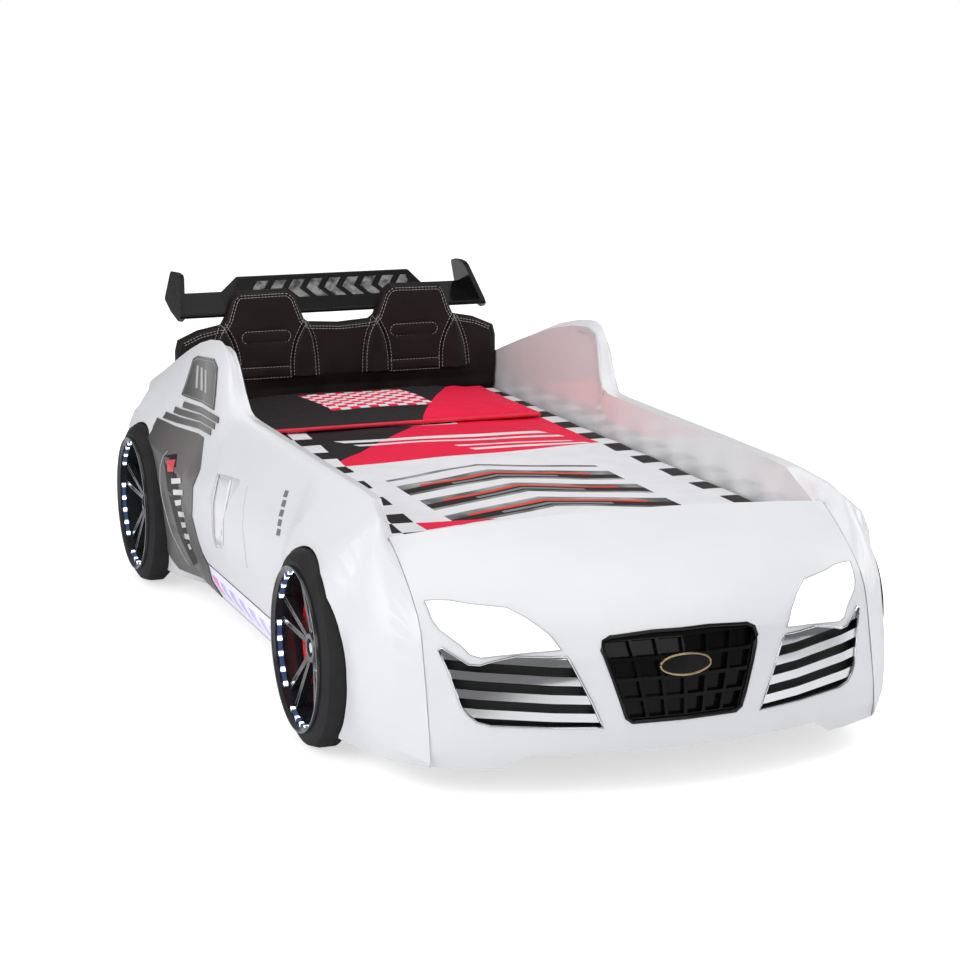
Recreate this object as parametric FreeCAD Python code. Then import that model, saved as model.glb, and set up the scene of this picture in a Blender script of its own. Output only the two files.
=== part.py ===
import FreeCAD, Part
import math
import os

V = FreeCAD.Vector

# A bed for children in the shape of a sports car, for a 900 x 1900 mattress.
# X is the width, Y the length with the bonnet towards -Y, Z is up and the floor is z = 0.
# The origin is on the floor under the middle of the whole length and width.
# Left and right are as seen from the front: left is -X.

# ---------------------------------------------------------------- driving sizes, mm
mattress_width = 900.0
mattress_length = 1900.0
mattress_height = 150.0
cover_cloth = 2.0
side_room = 10.0             # between mattress and each side board
end_room = 3.0               # between mattress and foot board, and headboard

bonnet_depth = 379.5         # bumper's foremost point to the foot board's inner face
pad_depth = 45.0             # headboard upholstery
board = 18.0                 # every board of the carcass
tail_depth = 96.0            # headboard's backing to the rear board's outer face
wing_overhang = 100.5        # rear board to the wing's rearmost point

ground_gap = 55.0            # body's lower edge above the floor
board_foot = 70.0            # lower edge of the carcass boards
bed_top = 429.0              # cover's upper side
deck_top = 527.0             # side panel's top along the mattress
hump_top = 676.0             # side panel's top beside the headboard
tail_slope = 0.34            # fall of the panel's top behind the hump
tail_round = 300.0           # how softly that fall sets in
hump_to_wheel = 472.5        # rear axle forward to the hump's peak
drop_to_wheel = 537.5        # rear axle forward to the middle of the hump's drop
drop_softness = 17.0
hump_lean = 14.0             # how far the inner face leans out at the hump's top

skin = 5.0                   # moulded panels' wall
door_half = 577.0            # half width at the doors
arch_half = 611.0            # half width at the wheel arches
sill_half = 520.0            # half width at the sill's lower edge
seam_half = 485.0            # half width of the front moulding
seam_gap = 1.5

front_overhang = 548.0       # bumper to the front axle
wheelbase = 1557.0
tyre_radius = 207.0
tyre_lift = 1.0              # the tyres hang clear of the floor, the posts carry the bed
rim_radius = 174.0
rim_face = 640.0             # half width over the wheel covers
recess_floor = 546.0         # half width at the bottom of the wheel recesses
recess_radius = 212.0
fit = 0.2                    # seat clearance of trim pieces

# ---------------------------------------------------------------- places along the length
well_length = mattress_length + 2 * end_room
total_length = bonnet_depth + well_length + pad_depth + board + tail_depth + wing_overhang
front_y = -total_length / 2
well_front = front_y + bonnet_depth
head_y = well_front + well_length
backing_y = head_y + pad_depth
deck_y = backing_y + board
rear_y = deck_y + tail_depth
wing_rear = rear_y + wing_overhang
front_axle = front_y + front_overhang
rear_axle = front_axle + wheelbase
axle_z = tyre_radius + tyre_lift
hump_y = rear_axle - hump_to_wheel
drop_y = rear_axle - drop_to_wheel
board_x = mattress_width / 2 + side_room
board_out = board_x + board
corner_y = well_front + 13.0        # where the side panel begins to turn round the front corner


# ---------------------------------------------------------------- small helpers
def save(name, shape):
    if isinstance(shape, list):
        shape = shape[0] if len(shape) == 1 else Part.makeCompound(shape)
    shape.exportStep("parts/" + name + ".step")
    solids = shape.Solids
    flag = "" if shape.isValid() and all(s.isClosed() for s in solids) else "  INVALID"
    print(name, len(solids), "solids", round(sum(s.Volume for s in solids) / 1000.0, 1), "cm3", flag)


def mirrored(shape):
    return shape.mirror(V(0, 0, 0), V(1, 0, 0))


def save_pair(name, right):
    save(name + "_right", right)
    save(name + "_left", [mirrored(s) for s in right] if isinstance(right, list) else mirrored(right))


def box(x0, x1, y0, y1, z0, z1):
    return Part.makeBox(x1 - x0, y1 - y0, z1 - z0, V(x0, y0, z0))


def tube_x(radius, x0, x1, y, z):
    return Part.makeCylinder(radius, x1 - x0, V(x0, y, z), V(1, 0, 0))


def ring_of(radius, sides, y, z):
    """Corners (y, z) of a many-sided ring with the given radius over its corners."""
    turn = 2 * math.pi / sides
    return [(y + radius * math.cos(turn * i), z + radius * math.sin(turn * i)) for i in range(sides)]


def section_curve(points, facets):
    """Smooth curve through the points, laid out as short straight facets of equal parameter."""
    curve = Part.BSplineCurve()
    steps = [i / (len(points) - 1.0) for i in range(len(points))]
    curve.interpolate(Points=points, Parameters=steps)
    corners = [curve.value(i / float(facets)) for i in range(facets + 1)]
    return [Part.makeLine(a, b) for a, b in zip(corners, corners[1:])]


def polygon(points):
    return Part.makePolygon(points + [points[0]])


def outline_xz(points, y0, y1):
    """Prism along Y of a closed outline given as (x, z) corners."""
    wire = polygon([V(x, y0, z) for x, z in points])
    return Part.Face(wire).extrude(V(0, y1 - y0, 0))


def outline_yz(points, x0, x1):
    """Prism along X of a closed outline given as (y, z) corners."""
    wire = polygon([V(x0, y, z) for y, z in points])
    return Part.Face(wire).extrude(V(x1 - x0, 0, 0))


def grown(points, amount):
    """Closed outline moved outwards by an amount, corner by corner."""
    count = len(points)
    area = sum(points[i][0] * points[(i + 1) % count][1] - points[(i + 1) % count][0] * points[i][1]
               for i in range(count))
    turn = 1.0 if area > 0 else -1.0
    moved = []
    for i in range(count):
        ax, az = points[i - 1]
        bx, bz = points[i]
        cx, cz = points[(i + 1) % count]
        n1 = V(bz - az, ax - bx, 0).normalize()
        n2 = V(cz - bz, bx - cx, 0).normalize()
        mid = n1 + n2
        reach = 2.0 * turn * amount / mid.dot(mid)
        moved.append((bx + mid.x * reach, bz + mid.y * reach))
    return moved


def offset_profile(points, depth):
    """Open profile of (a, b) points moved to its right-hand side by a depth."""
    moved = []
    last = len(points) - 1
    for i in range(len(points)):
        a0, b0 = points[max(i - 1, 0)]
        a1, b1 = points[min(i + 1, last)]
        run = math.hypot(a1 - a0, b1 - b0)
        moved.append((points[i][0] + (b1 - b0) / run * depth, points[i][1] - (a1 - a0) / run * depth))
    return moved


def bump(distance, flat, fade):
    """1 within flat, falling smoothly to 0 over fade."""
    d = (abs(distance) - flat) / fade
    if d <= 0:
        return 1.0
    return 0.0 if d >= 1 else 0.5 + 0.5 * math.cos(math.pi * d)


# ---------------------------------------------------------------- front moulding's surface
# Profiles from the bonnet's rear edge down to the bumper's lower edge, as distances behind the
# bumper's foremost point and heights: one on the centre line and one at the seam.
bonnet_mid = [(379.5, 487), (282, 459), (178, 421), (93, 377), (38, 336), (10, 290), (0, 215), (0, 145), (8, 60)]
bonnet_seam = [(379.5, 470), (317, 440), (250, 398), (197, 352), (172, 305), (160, 262), (146, 200),
               (130, 125), (137, 60)]


def front_profile(x, depth=0.0):
    share = (x / seam_half) ** 2
    points = []
    for mid, seam in zip(bonnet_mid, bonnet_seam):
        y = front_y + mid[0] * (1 - share) + seam[0] * share
        z = mid[1] * (1 - share) + seam[1] * share
        points.append((y, z))
    points = offset_profile(points, -depth)
    return points


front_bodies = {}
front_facets = 14


def front_solid(depth, spare=0.0):
    """Body under the front surface moved inwards by depth, wider than the seams on both sides."""
    if (depth, spare) in front_bodies:
        return front_bodies[(depth, spare)]
    wires = []
    for i in range(-4, 5):
        x = (seam_half + 40.0) * i / 4.0
        points = front_profile(x, depth)
        top = V(x, points[0][0], points[0][1])
        foot = V(x, points[-1][0], points[-1][1])
        back = well_front + spare + 1.0
        low = foot.z - spare - 1.0
        corners = [foot, V(x, foot.y, low), V(x, back, low), V(x, back, top.z), top]
        edges = section_curve([V(x, y, z) for y, z in points], front_facets)
        edges += [Part.makeLine(p, q) for p, q in zip(corners, corners[1:])]
        wires.append(Part.Wire(edges))
    front_bodies[(depth, spare)] = Part.makeLoft(wires, True, True)
    return front_bodies[(depth, spare)]


def front_layer(outer, inner, cutter):
    """Layer between two depths under the front surface, inside a cutter."""
    return front_solid(outer).common(cutter).cut(front_solid(inner, 15.0))


# ---------------------------------------------------------------- side panel's surface
def hump_share(y):
    """0 along the deck, 1 on the hump, with a soft step between."""
    return 1.0 / (1.0 + math.exp(-(y - drop_y) / drop_softness))


def panel_top(y):
    """Height of the side panel's crest: level deck, steep rise to the hump, long fall to the tail."""
    ridge = hump_top - tail_slope * (math.hypot(y - hump_y, tail_round) - tail_round)
    rise = hump_share(y)
    fall = 12.0 * (min(0.0, y - (well_front + 193.0)) / 140.0) ** 2
    return deck_top - fall + (ridge - deck_top) * rise


def side_profile(y):
    """Section of the side panel across the length, as (x, z) from the inner top edge to the sill."""
    flare = max(bump(y - front_axle, 150, 170), bump(y - rear_axle, 150, 170))
    tail = max(0.0, (y - (rear_y - 190.0)) / 190.0) ** 2
    wide = door_half + (arch_half - door_half) * flare - 62 * tail
    top = panel_top(y)
    roll = max(0.0, min(1.0, (well_front + 140.0 - y) / 130.0))
    lean = 0.5 - 0.5 * math.cos(math.pi * roll)
    leaning = hump_lean * (top - deck_top) / (hump_top - deck_top) if top > deck_top else 0.0
    inner = (board_x + 12 * lean + leaning, top - 40 * lean)
    crest = (482 + 18 * lean + leaning * 0.3, top + 2 - 2 * lean)
    shoulder = 530 + 36 * flare - 20 * tail
    return [inner,
            crest,
            (506 + 16 * lean, top - 13),
            (shoulder, 452 + 6 * flare - 22 * tail),
            (wide - 1, 330 + 62 * flare),
            (wide - 3, 180 + 40 * flare),
            (sill_half + 70 * flare - 8 * tail, ground_gap)]


# Sections round the front corner: angle from straight out to straight ahead, foot of the section
# (x, distance ahead of the corner's start) and the profile as (reach, height).
corner_sections = [
    (25, (478, 5), [(0, 466), (29, 499), (55, 480), (87, 425), (119, 345), (123, 195), (107, 55)]),
    (48, (482, 9), [(0, 464), (40, 486), (76, 458), (110, 398), (139, 318), (145, 180), (126, 56)]),
    (70, (485.7, 12.8), [(0, 462), (54, 462), (102, 422), (146, 362), (176, 280), (188, 150), (171, 57)]),
]


def side_stations():
    """All sections of the side panel from the tail to the seam: foot, direction and profile."""
    stations = []
    ys = [rear_y - step for step in (0, 45, 110, 200, 310, 430, 550, 670, 760)]
    ys += [hump_y + step for step in (25, -15, -45, -75, -105, -140, -200, -330)]
    span = ys[-1] - corner_y
    ys += [ys[-1] - span * share for share in (0.16, 0.32, 0.48, 0.58, 0.68, 0.78, 0.88, 1.0)]
    for y in ys:
        stations.append((V(0, y, 0), V(1, 0, 0), side_profile(y)))
    for angle, (x, ahead), profile in corner_sections:
        a = math.radians(angle)
        stations.append((V(x, corner_y - ahead, 0), V(math.cos(a), -math.sin(a), 0), profile))
    seam_x = seam_half + seam_gap
    seam = front_profile(seam_x)
    start = corner_y - 26.0
    kept = [0, 2, 3, 4, 5, 7, 8]
    profile = [(start - seam[i][0], seam[i][1]) for i in kept]
    profile[0] = (0, seam[0][1] - 6)
    profile[1] = (start - (seam[1][0] + seam[2][0]) / 2, (seam[1][1] + seam[2][1]) / 2)
    stations.append((V(seam_x, start, 0), V(0, -1, 0), profile))
    return stations


side_facets = 12


def side_loft(depth, spare=0.0):
    """Body between the side surface moved inwards by depth and the panel's inner face."""
    wires = []
    stations = side_stations()
    for number, (foot, way, profile) in enumerate(stations):
        base = (board_x if way.x == 1 else 0.0) - spare
        if number == 0:
            foot = foot + V(0, spare, 0)
        if number == len(stations) - 1:
            foot = foot - V(spare, 0, 0)
        out = [foot + way * a + V(0, 0, b) for a, b in offset_profile(profile, depth)]
        low = out[-1].z - spare
        corners = [out[-1], foot + way * base + V(0, 0, low), out[0]]
        if spare > 0:
            corners = [out[-1], V(out[-1].x, out[-1].y, low), corners[1],
                       foot + way * base + V(0, 0, out[0].z), out[0]]
        edges = section_curve(out, side_facets)
        edges += [Part.makeLine(p, q) for p, q in zip(corners, corners[1:])]
        wires.append(Part.Wire(edges))
    return Part.makeLoft(wires, True, True)


os.makedirs("parts", exist_ok=True)

# ---------------------------------------------------------------- side panels and their inner boards
full_side = side_loft(0.0)
board_end = rear_y - board
side_board = full_side.common(box(board_x - 5, board_out, corner_y - 5, board_end, board_foot, 800))
side_board = side_board.fuse(box(board_x, board_out, well_front, corner_y + 1, board_foot, 452)).removeSplitter()
side_panel = full_side.cut(box(board_x - 20, board_out, front_y, rear_y + 20, -20, 900))

# hollow in the panel's back, between the wheel recesses
panel_wall = 12.0
pocket_low = ground_gap + 30.0
pocket_section = [(board_out - 1, pocket_low), (sill_half - panel_wall, pocket_low), (door_half - 18, 180),
                  (door_half - panel_wall - 3, 320), (530 - panel_wall - 4, 440), (board_out - 1, 470)]
pocket_y0 = front_axle + recess_radius + panel_wall
pocket_y1 = rear_axle - recess_radius - panel_wall
side_panel = side_panel.cut(outline_xz(pocket_section, pocket_y0, pocket_y1))

for axle in (front_axle, rear_axle):
    side_panel = side_panel.cut(tube_x(recess_radius, recess_floor, 720, axle, axle_z))

# door handle recess and its plate, in the middle of each side
handle_outline = [(88, 250), (94, 240), (168, 226), (176, 231), (200, 290), (232, 336), (236, 388), (228, 396),
                  (44, 414), (36, 404), (96, 318)]
handle_depth = 5.0
plate_wall = 4.0
handle_hole = outline_yz(handle_outline, 500, 700)
handle_floor = side_loft(handle_depth)
handle_plate = handle_floor.common(handle_hole).cut(side_loft(handle_depth + plate_wall))
side_panel = side_panel.cut(handle_hole.cut(side_loft(handle_depth + plate_wall)))

# lit sill panel, set into the lower edge between the wheels
sill_outline = [(-500, 66), (-486, 146), (-440, 156), (380, 156), (430, 140), (452, 66)]
sill_hole = outline_yz(sill_outline, 490, 700)
sill_inset = 5.0
sill_panel = side_loft(1.0).common(sill_hole).cut(side_loft(sill_inset))
side_panel = side_panel.cut(sill_hole.cut(side_loft(sill_inset)))

# black window piece on the hump's outside, with the blade below it and three slanted strips between
pillar_skin = side_loft(-2.5)
cap_outline = [(652, 520), (629, 614), (585, 628), (418, 644), (379, 628), (381, 522)]
blade_outline = [(760, 445), (738, 420), (748, 380), (746, 310), (728, 230), (690, 160), (640, 110), (600, 76),
                 (330, 60), (294, 157), (352, 205), (386, 262), (394, 330), (390, 375), (444, 444)]
strip_count = 3


def on_side(outline):
    return outline_yz(outline, 495, 700).common(pillar_skin).cut(full_side)


pillar_cap = on_side(cap_outline)
pillar_blade = [on_side(blade_outline).cut(tube_x(recess_radius, recess_floor, 720, rear_axle, axle_z))]
first_strip = [(617, 508), (330, 513)]
last_strip = [(726, 465), (388, 474)]
strip_high = 15.0
for i in range(strip_count):
    share = i / (strip_count - 1.0)
    rear, front = [(a[0] + (b[0] - a[0]) * share, a[1] + (b[1] - a[1]) * share)
                   for a, b in zip(first_strip, last_strip)]
    pillar_blade.append(on_side([rear, front, (front[0], front[1] - strip_high), (rear[0], rear[1] - strip_high)]))

side_panel = sorted(side_panel.Solids, key=lambda solid: -solid.Volume)[0]
save_pair("side_panel", side_panel)
save_pair("door_handle", handle_plate)
save_pair("sill_light", sill_panel)
save_pair("pillar_cap", pillar_cap)
save_pair("pillar_blade", pillar_blade)

# black trim along the hump's inner edge
trim_wall = 3.0
trim_width = 13.0
trim_ys = [drop_y - 52 + 8 * i for i in range(13)] + [hump_y + 20, hump_y + 60, hump_y + 100]
ridge = [(y, panel_top(y) - 1.0) for y in trim_ys]
inner_line = offset_profile(ridge, trim_width)
trim_body = full_side.copy()
trim_body.translate(V(-trim_wall, 0, 0))
hump_trim = outline_yz(ridge + inner_line[::-1], board_x - trim_wall - 5, board_out).common(trim_body).cut(full_side)
save_pair("hump_trim", sorted(hump_trim.Solids, key=lambda solid: -solid.Volume)[0])

# ---------------------------------------------------------------- bonnet and bumper
lamp_outline = [(242, 295), (261, 324), (291, 349), (322, 366), (387, 372), (421, 377), (467, 376), (462, 344),
                (452, 327), (420, 301), (406, 284), (388, 279), (359, 283), (300, 290)]
louvre_outline = [(459, 290), (452, 295), (425, 276), (410, 266), (391, 265), (366, 273), (325, 283), (233, 282),
                  (225, 268), (191, 195), (168, 140), (378, 148), (402, 155), (417, 168), (428, 185), (446, 253)]
grille_outline = [(-146, 315), (-60, 320), (60, 320), (146, 315), (161, 308), (165, 292), (123, 158), (110, 148),
                  (-110, 148), (-123, 158), (-165, 292), (-161, 308)]
reach_front = front_y - 30
reach_back = front_y + 330


def front_prism(outline):
    return outline_xz(outline, reach_front, reach_back)


shell = front_solid(0.0).common(box(-seam_half, seam_half, front_y - 20, well_front, 0, 600))
shell = shell.cut(front_solid(skin, 15.0))
toe_cut = outline_xz([(-385, 40), (-310, 88), (310, 88), (385, 40)], front_y - 20, well_front + 20)
shell = shell.cut(toe_cut)
for outline in (lamp_outline, louvre_outline):
    hole = front_prism(outline)
    shell = shell.cut(hole).cut(mirrored(hole))
shell = shell.cut(front_prism(grown(grille_outline, 0.5)))
save("front_shell", shell)

# headlamps: a lit lens in the opening and a tub behind it
lens = front_layer(0.0, skin, front_prism(grown(lamp_outline, -0.5)))
tub_depth = 26.0
tub = front_layer(skin + fit, tub_depth, front_prism(grown(lamp_outline, 6)))
tub = tub.cut(front_layer(-2.0, tub_depth - 3, front_prism(grown(lamp_outline, -4))))
save_pair("lamp_lens", lens)
save_pair("lamp_housing", tub)

# louvres: a tub behind each opening with four bright bars across it
lamp_room = front_prism(grown(lamp_outline, 6.4))
pan = front_layer(skin + fit, tub_depth, front_prism(grown(louvre_outline, 6)))
pan = pan.cut(lamp_room)
pan = pan.cut(front_layer(-2.0, tub_depth - 3, front_prism(grown(louvre_outline, -2))))
bar_count = 4
bar_pitch = 35.5
bar_high = 17.0
bar_rise = 0.055
first_bar = 268.0
bars = []
bar_space = front_prism(grown(louvre_outline, -2.5)).cut(lamp_room)
for i in range(bar_count):
    z = first_bar - bar_pitch * i
    slab = [(150, z - 12), (480, z - 12 + 330 * bar_rise), (480, z - 12 + 330 * bar_rise + bar_high),
            (150, z - 12 + bar_high)]
    bar = front_layer(2.0, tub_depth - 3, bar_space.common(front_prism(slab)))
    bars += [solid for solid in bar.Solids if solid.Volume > 2000]
save_pair("louvre_pan", pan)
save_pair("louvre_bars", bars)

# grille: one plate of blind cells behind the bumper's face, with an oval badge in front
grille_set = 3.0
cell_depth = 15.0
grille = front_layer(grille_set, cell_depth + 4, front_prism(grille_outline))
columns = 6
rows = 4
cell_rib = 7.0
cells = None
for row in range(rows):
    z0 = 156.0 + row * 39.5
    z1 = z0 + 39.5 - cell_rib
    for column in range(columns):
        u0 = -1 + 2.0 * column / columns
        u1 = -1 + 2.0 * (column + 1) / columns
        low = 118.0 + (z0 - 158) * 0.30
        high = 118.0 + (z1 - 158) * 0.30
        half = cell_rib / 2
        cell = [(u0 * low + half, z0), (u1 * low - half, z0), (u1 * high - half, z1), (u0 * high + half, z1)]
        prism = outline_xz(cell, reach_front, front_y + 60)
        cells = prism if cells is None else cells.fuse(prism)
grille = grille.cut(cells.cut(front_solid(cell_depth)))
save("grille", grille)
badge_wide = 112.0
badge_high = 45.0
badge_z = 255.0
badge_ring = [(a * badge_wide / 2, badge_z + b * badge_high / 2) for a, b in ring_of(1.0, 32, 0, 0)]
badge = outline_xz(badge_ring, reach_front, reach_front + 90)
save("grille_badge", front_layer(0.0, grille_set, badge))

# ---------------------------------------------------------------- wheels
tyre_inner = 632.0
tyre_back = 556.0
barrel = 168.0
barrel_wall = 5.0
tyre_bore = rim_radius + fit
back_plate = 6.0
hub_face = 605.0
spoke_pairs = 5
spoke_half_angle = 9.0
spoke_wide = 11.0
spoke_deep = 13.0


wheel_sides = 48
hub_sides = 24


def turned(points, y, sides):
    """Many-sided body round the axle: rings given as (x, radius over the corners), from inside to outside."""
    wires = [polygon([V(x, a, b) for a, b in ring_of(r, sides, y, axle_z)]) for x, r in points]
    return Part.makeLoft(wires, True, True)


def tyre(y):
    body = turned([(tyre_back, 190), (575, tyre_radius), (604, tyre_radius), (622, 201), (tyre_inner, 184)], y,
                  wheel_sides)
    return body.cut(turned([(tyre_back - 5, tyre_bore), (tyre_inner + 5, tyre_bore)], y, wheel_sides))


def wheel_cover(y):
    inside = barrel - barrel_wall
    rim = turned([(recess_floor, rim_radius), (rim_face, rim_radius)], y, wheel_sides)
    well = turned([(recess_floor + back_plate, inside), (rim_face - 6, inside), (rim_face + 1, rim_radius + 0.8)], y,
                  wheel_sides)
    hub = turned([(recess_floor + 1, 38), (hub_face - 8, 38), (hub_face, 30)], y, hub_sides)
    dish = turned([(hub_face - 9, 17), (hub_face + 1, 20)], y, hub_sides)
    cover = rim.cut(well).fuse(hub).cut(dish)
    for i in range(spoke_pairs):
        for side in (-1, 1):
            angle = 90 + 360.0 / spoke_pairs * i + side * spoke_half_angle
            arm = [(588, 30), (588 + spoke_deep, 30), (616, barrel - barrel_wall + 1), (600, barrel - barrel_wall + 1)]
            spoke = Part.Face(polygon([V(x, -spoke_wide / 2, r) for x, r in arm])).extrude(V(0, spoke_wide, 0))
            spoke.rotate(V(0, 0, 0), V(1, 0, 0), angle - 90)
            spoke.translate(V(0, y, axle_z))
            cover = cover.fuse(spoke)
    return cover


caliper_inner = 82.0
caliper_outer = 128.0
caliper_angle = 52.0


def caliper(y):
    ring = turned([(recess_floor + back_plate, caliper_outer), (582, caliper_outer), (587, caliper_outer - 10)], y,
                  wheel_sides)
    ring = ring.cut(turned([(recess_floor, caliper_inner), (584, caliper_inner), (588, caliper_inner + 10)], y,
                           wheel_sides))
    a = math.radians(caliper_angle)
    far = 260.0
    wedge = [(y, axle_z), (y + far * math.cos(a), axle_z - far * math.sin(a)),
             (y + far * 1.4, axle_z), (y + far * math.cos(a), axle_z + far * math.sin(a))]
    return ring.common(outline_yz(wedge, 540, 600))


strip_arcs = 5


def light_strip(y):
    """Light strips round the inside of the rim, five bent strips between the spokes."""
    pieces = []
    inside = (barrel - barrel_wall) * math.cos(math.pi / wheel_sides) - fit
    for i in range(strip_arcs):
        ring = []
        for radius, order in ((inside, (-2, -1, 0, 1, 2)), (inside - 3, (2, 1, 0, -1, -2))):
            for step in order:
                angle = math.radians(90 + 36 + 72 * i + 13 * step)
                ring.append((y + radius * math.cos(angle), axle_z + radius * math.sin(angle)))
        pieces.append(outline_yz(ring, 620, 629))
    return pieces


strips = []
for name, y in (("front", front_axle), ("rear", rear_axle)):
    save_pair("tyre_" + name, tyre(y))
    save_pair("wheel_cover_" + name, wheel_cover(y))
    strips += light_strip(y)
save_pair("brake_caliper", caliper(front_axle))
save("rim_light_strips", strips + [mirrored(s) for s in strips])

# ---------------------------------------------------------------- cross boards
foot_board = box(-board_out, board_out, well_front - board, well_front, board_foot, 700)
foot_board = foot_board.common(front_solid(skin, 15.0))
save("foot_board", foot_board)
deck_z = 470.0
save("rear_board", box(-board_out, board_out, board_end, rear_y, board_foot, 420)
     .fuse(box(-board_x, board_x, board_end, rear_y, 420, deck_z - board)).removeSplitter())
save("rear_deck", box(-board_x, board_x, deck_y, rear_y, deck_z - board, deck_z))

# ---------------------------------------------------------------- headboard
head_half = [(0, 628), (88, 634), (102, 645), (126, 709), (148, 728), (291, 726), (306, 707), (322, 655),
             (330, 640), (335, 636), (397, 624), (452, 600), (459.5, 570), (459.5, 432)]
head_outline = head_half + [(-x, z) for x, z in head_half[:0:-1]]
seat_half = [(68, 487), (70, 545), (82, 598), (100, 641), (126, 709), (148, 728), (291, 726), (306, 707),
             (322, 655), (333, 637), (352, 594), (366, 548), (372, 487)]
pad_face = head_y
pad_round = 14.0


def cushion(outline, y_back, y_front, inset):
    """Upholstered piece: full outline at the back, rolled over towards the front face."""
    wires = []
    for share, y in ((0.0, y_back), (0.0, y_front + inset), (0.3, y_front + inset * 0.29), (1.0, y_front)):
        points = grown(outline, -inset * share) if share else outline
        wires.append(polygon([V(x, y, z) for x, z in points]))
    return Part.makeLoft(wires, True, True)


pad = cushion(head_outline, backing_y, pad_face + 12, 10.0)
seat_gap = 0.3
seat = cushion(seat_half, backing_y, pad_face, 12.0)
seat_room = outline_xz(grown(seat_half, seat_gap), pad_face - 5, backing_y + 5)
pad = pad.cut(seat_room).cut(mirrored(seat_room))
pad = pad.cut(box(-board_x, board_x, pad_face - 5, pad_face + 22, 400, 432 + 6))
save("headboard_pad", pad)
save_pair("seat_back", seat)
backing = outline_xz(grown(head_outline, -6), backing_y, deck_y)
backing = backing.fuse(box(-board_x, board_x, backing_y, deck_y, board_foot, 470))
save("headboard_board", backing.cut(box(-board_x, board_x, backing_y, deck_y, 640, 800)).removeSplitter())

# ---------------------------------------------------------------- wing
wing_nose_y = 1062.0
wing_nose_z = 655.0
wing_tail_y = 1243.0
wing_tail_z = 697.0
blade_thick = 14.0
nose = [V(0, wing_nose_y + 8, wing_nose_z), V(0, wing_nose_y, wing_nose_z + 6),
        V(0, wing_nose_y + 6, wing_nose_z + 13)]
blade_edges = [Part.Arc(*nose).toShape(),
               Part.makeLine(nose[2], V(0, wing_tail_y, wing_tail_z + 5)),
               Part.makeLine(V(0, wing_tail_y, wing_tail_z + 5), V(0, wing_tail_y + 4, wing_tail_z - 2)),
               Part.makeLine(V(0, wing_tail_y + 4, wing_tail_z - 2), nose[0])]
fin_foot_x = 426.0
fin_thick = 13.0
fin_lean = 12.0
fin_outline = [(1062, 655), (1066, 668), (1145, 757), (1160, 765), (1200, 768), (1256, 764), (1264, 757),
               (wing_rear, 690), (wing_rear - 6, 682), (1180, 660), (1080, 645)]
fin = outline_yz(fin_outline, fin_foot_x, fin_foot_x + fin_thick)
fin.rotate(V(fin_foot_x, 0, 665), V(0, 1, 0), -fin_lean)
blade = Part.Face(Part.Wire(blade_edges)).extrude(V(fin_foot_x + 6, 0, 0))
blade = blade.fuse(mirrored(blade)).removeSplitter()
blade = blade.cut(fin).cut(mirrored(fin))
blade = sorted(blade.Solids, key=lambda solid: -solid.Volume)[0]
panel_low = 309.0
panel_high = 248.0
lift_low = [(wing_nose_y + 6, wing_nose_z + 11), (1177, 748), (1196, 748), (1236, 700)]
panel = outline_yz(lift_low, -panel_low, panel_low)
slope = (panel_low - panel_high) / (748.0 - 668.0)
for side in (1, -1):
    corner = [(side * panel_low, 668), (side * (panel_low - slope * 100), 768), (side * 400, 768), (side * 400, 600),
              (side * (panel_low + slope * 30), 638)]
    panel = panel.cut(outline_xz(corner, wing_nose_y - 20, wing_rear))
panel = panel.cut(blade)
panel = sorted(panel.Solids, key=lambda solid: -solid.Volume)[0]
save("wing_blade", blade)
save("wing_panel", panel)
save_pair("wing_fin", fin)
post = box(250, 282, 1092, 1156, deck_z, 720).cut(blade)
post = [solid for solid in post.Solids if solid.BoundBox.ZMin < deck_z + 1][0]
save_pair("wing_post", post)

# ---------------------------------------------------------------- bed base
mattress_top = bed_top - cover_cloth
mattress_low = mattress_top - mattress_height
slat_thick = 10.5
web_thick = 1.5
ledger_top = mattress_low - web_thick - slat_thick
ledger_wide = 41.0
ledger_high = 40.0
post_side = 58.0
bolt_radius = 4.0
head_radius = 9.0
bolt_z = 150.0
posts = []
bolts = []
for y in (well_front + 70, well_front + well_length - 70, 0.0):
    block = box(board_x - post_side, board_x, y - post_side / 2, y + post_side / 2, 0, ledger_top - ledger_high)
    shank = outline_yz(ring_of(bolt_radius, 12, y, bolt_z), board_x - post_side, board_out - 4)
    bolt = shank.fuse(outline_yz(ring_of(head_radius, 6, y, bolt_z), board_x - post_side - 5, board_x - post_side))
    bolts.append(bolt)
    posts.append(block.cut(bolt))
for bolt in bolts:
    side_board = side_board.cut(bolt)
save_pair("side_board", side_board)
save("corner_posts", posts + [mirrored(s) for s in posts])
save("bolts", bolts + [mirrored(s) for s in bolts])
ledger = box(board_x - ledger_wide, board_x, well_front, head_y, ledger_top - ledger_high, ledger_top)
save_pair("ledger", ledger)
slat_count = 15
slat_wide = 70.0
slat_half = board_x - 6.0
pitch = (well_length - 120.0) / (slat_count - 1)
slats = None
for i in range(slat_count):
    y = well_front + 60 + i * pitch
    slat = box(-slat_half, slat_half, y - slat_wide / 2, y + slat_wide / 2, ledger_top, ledger_top + slat_thick)
    slats = slat if slats is None else slats.fuse(slat)
for x in (-300, 300):
    web = box(x - 15, x + 15, well_front + 25, head_y - 25, ledger_top + slat_thick, ledger_top + slat_thick + web_thick)
    slats = slats.fuse(web)
save("slats", slats)
beam_wide = 40.0
beam = box(-beam_wide / 2, beam_wide / 2, well_front, backing_y, ledger_top - 60, ledger_top)
for y in (-300.0, 420.0):
    beam = beam.fuse(box(-beam_wide / 2, beam_wide / 2, y - 25, y + 25, 0, ledger_top - 60))
save("centre_beam", beam.removeSplitter())

# ---------------------------------------------------------------- bedding
mattress_y0 = well_front + end_room
mattress_y1 = mattress_y0 + mattress_length
half = mattress_width / 2


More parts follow.
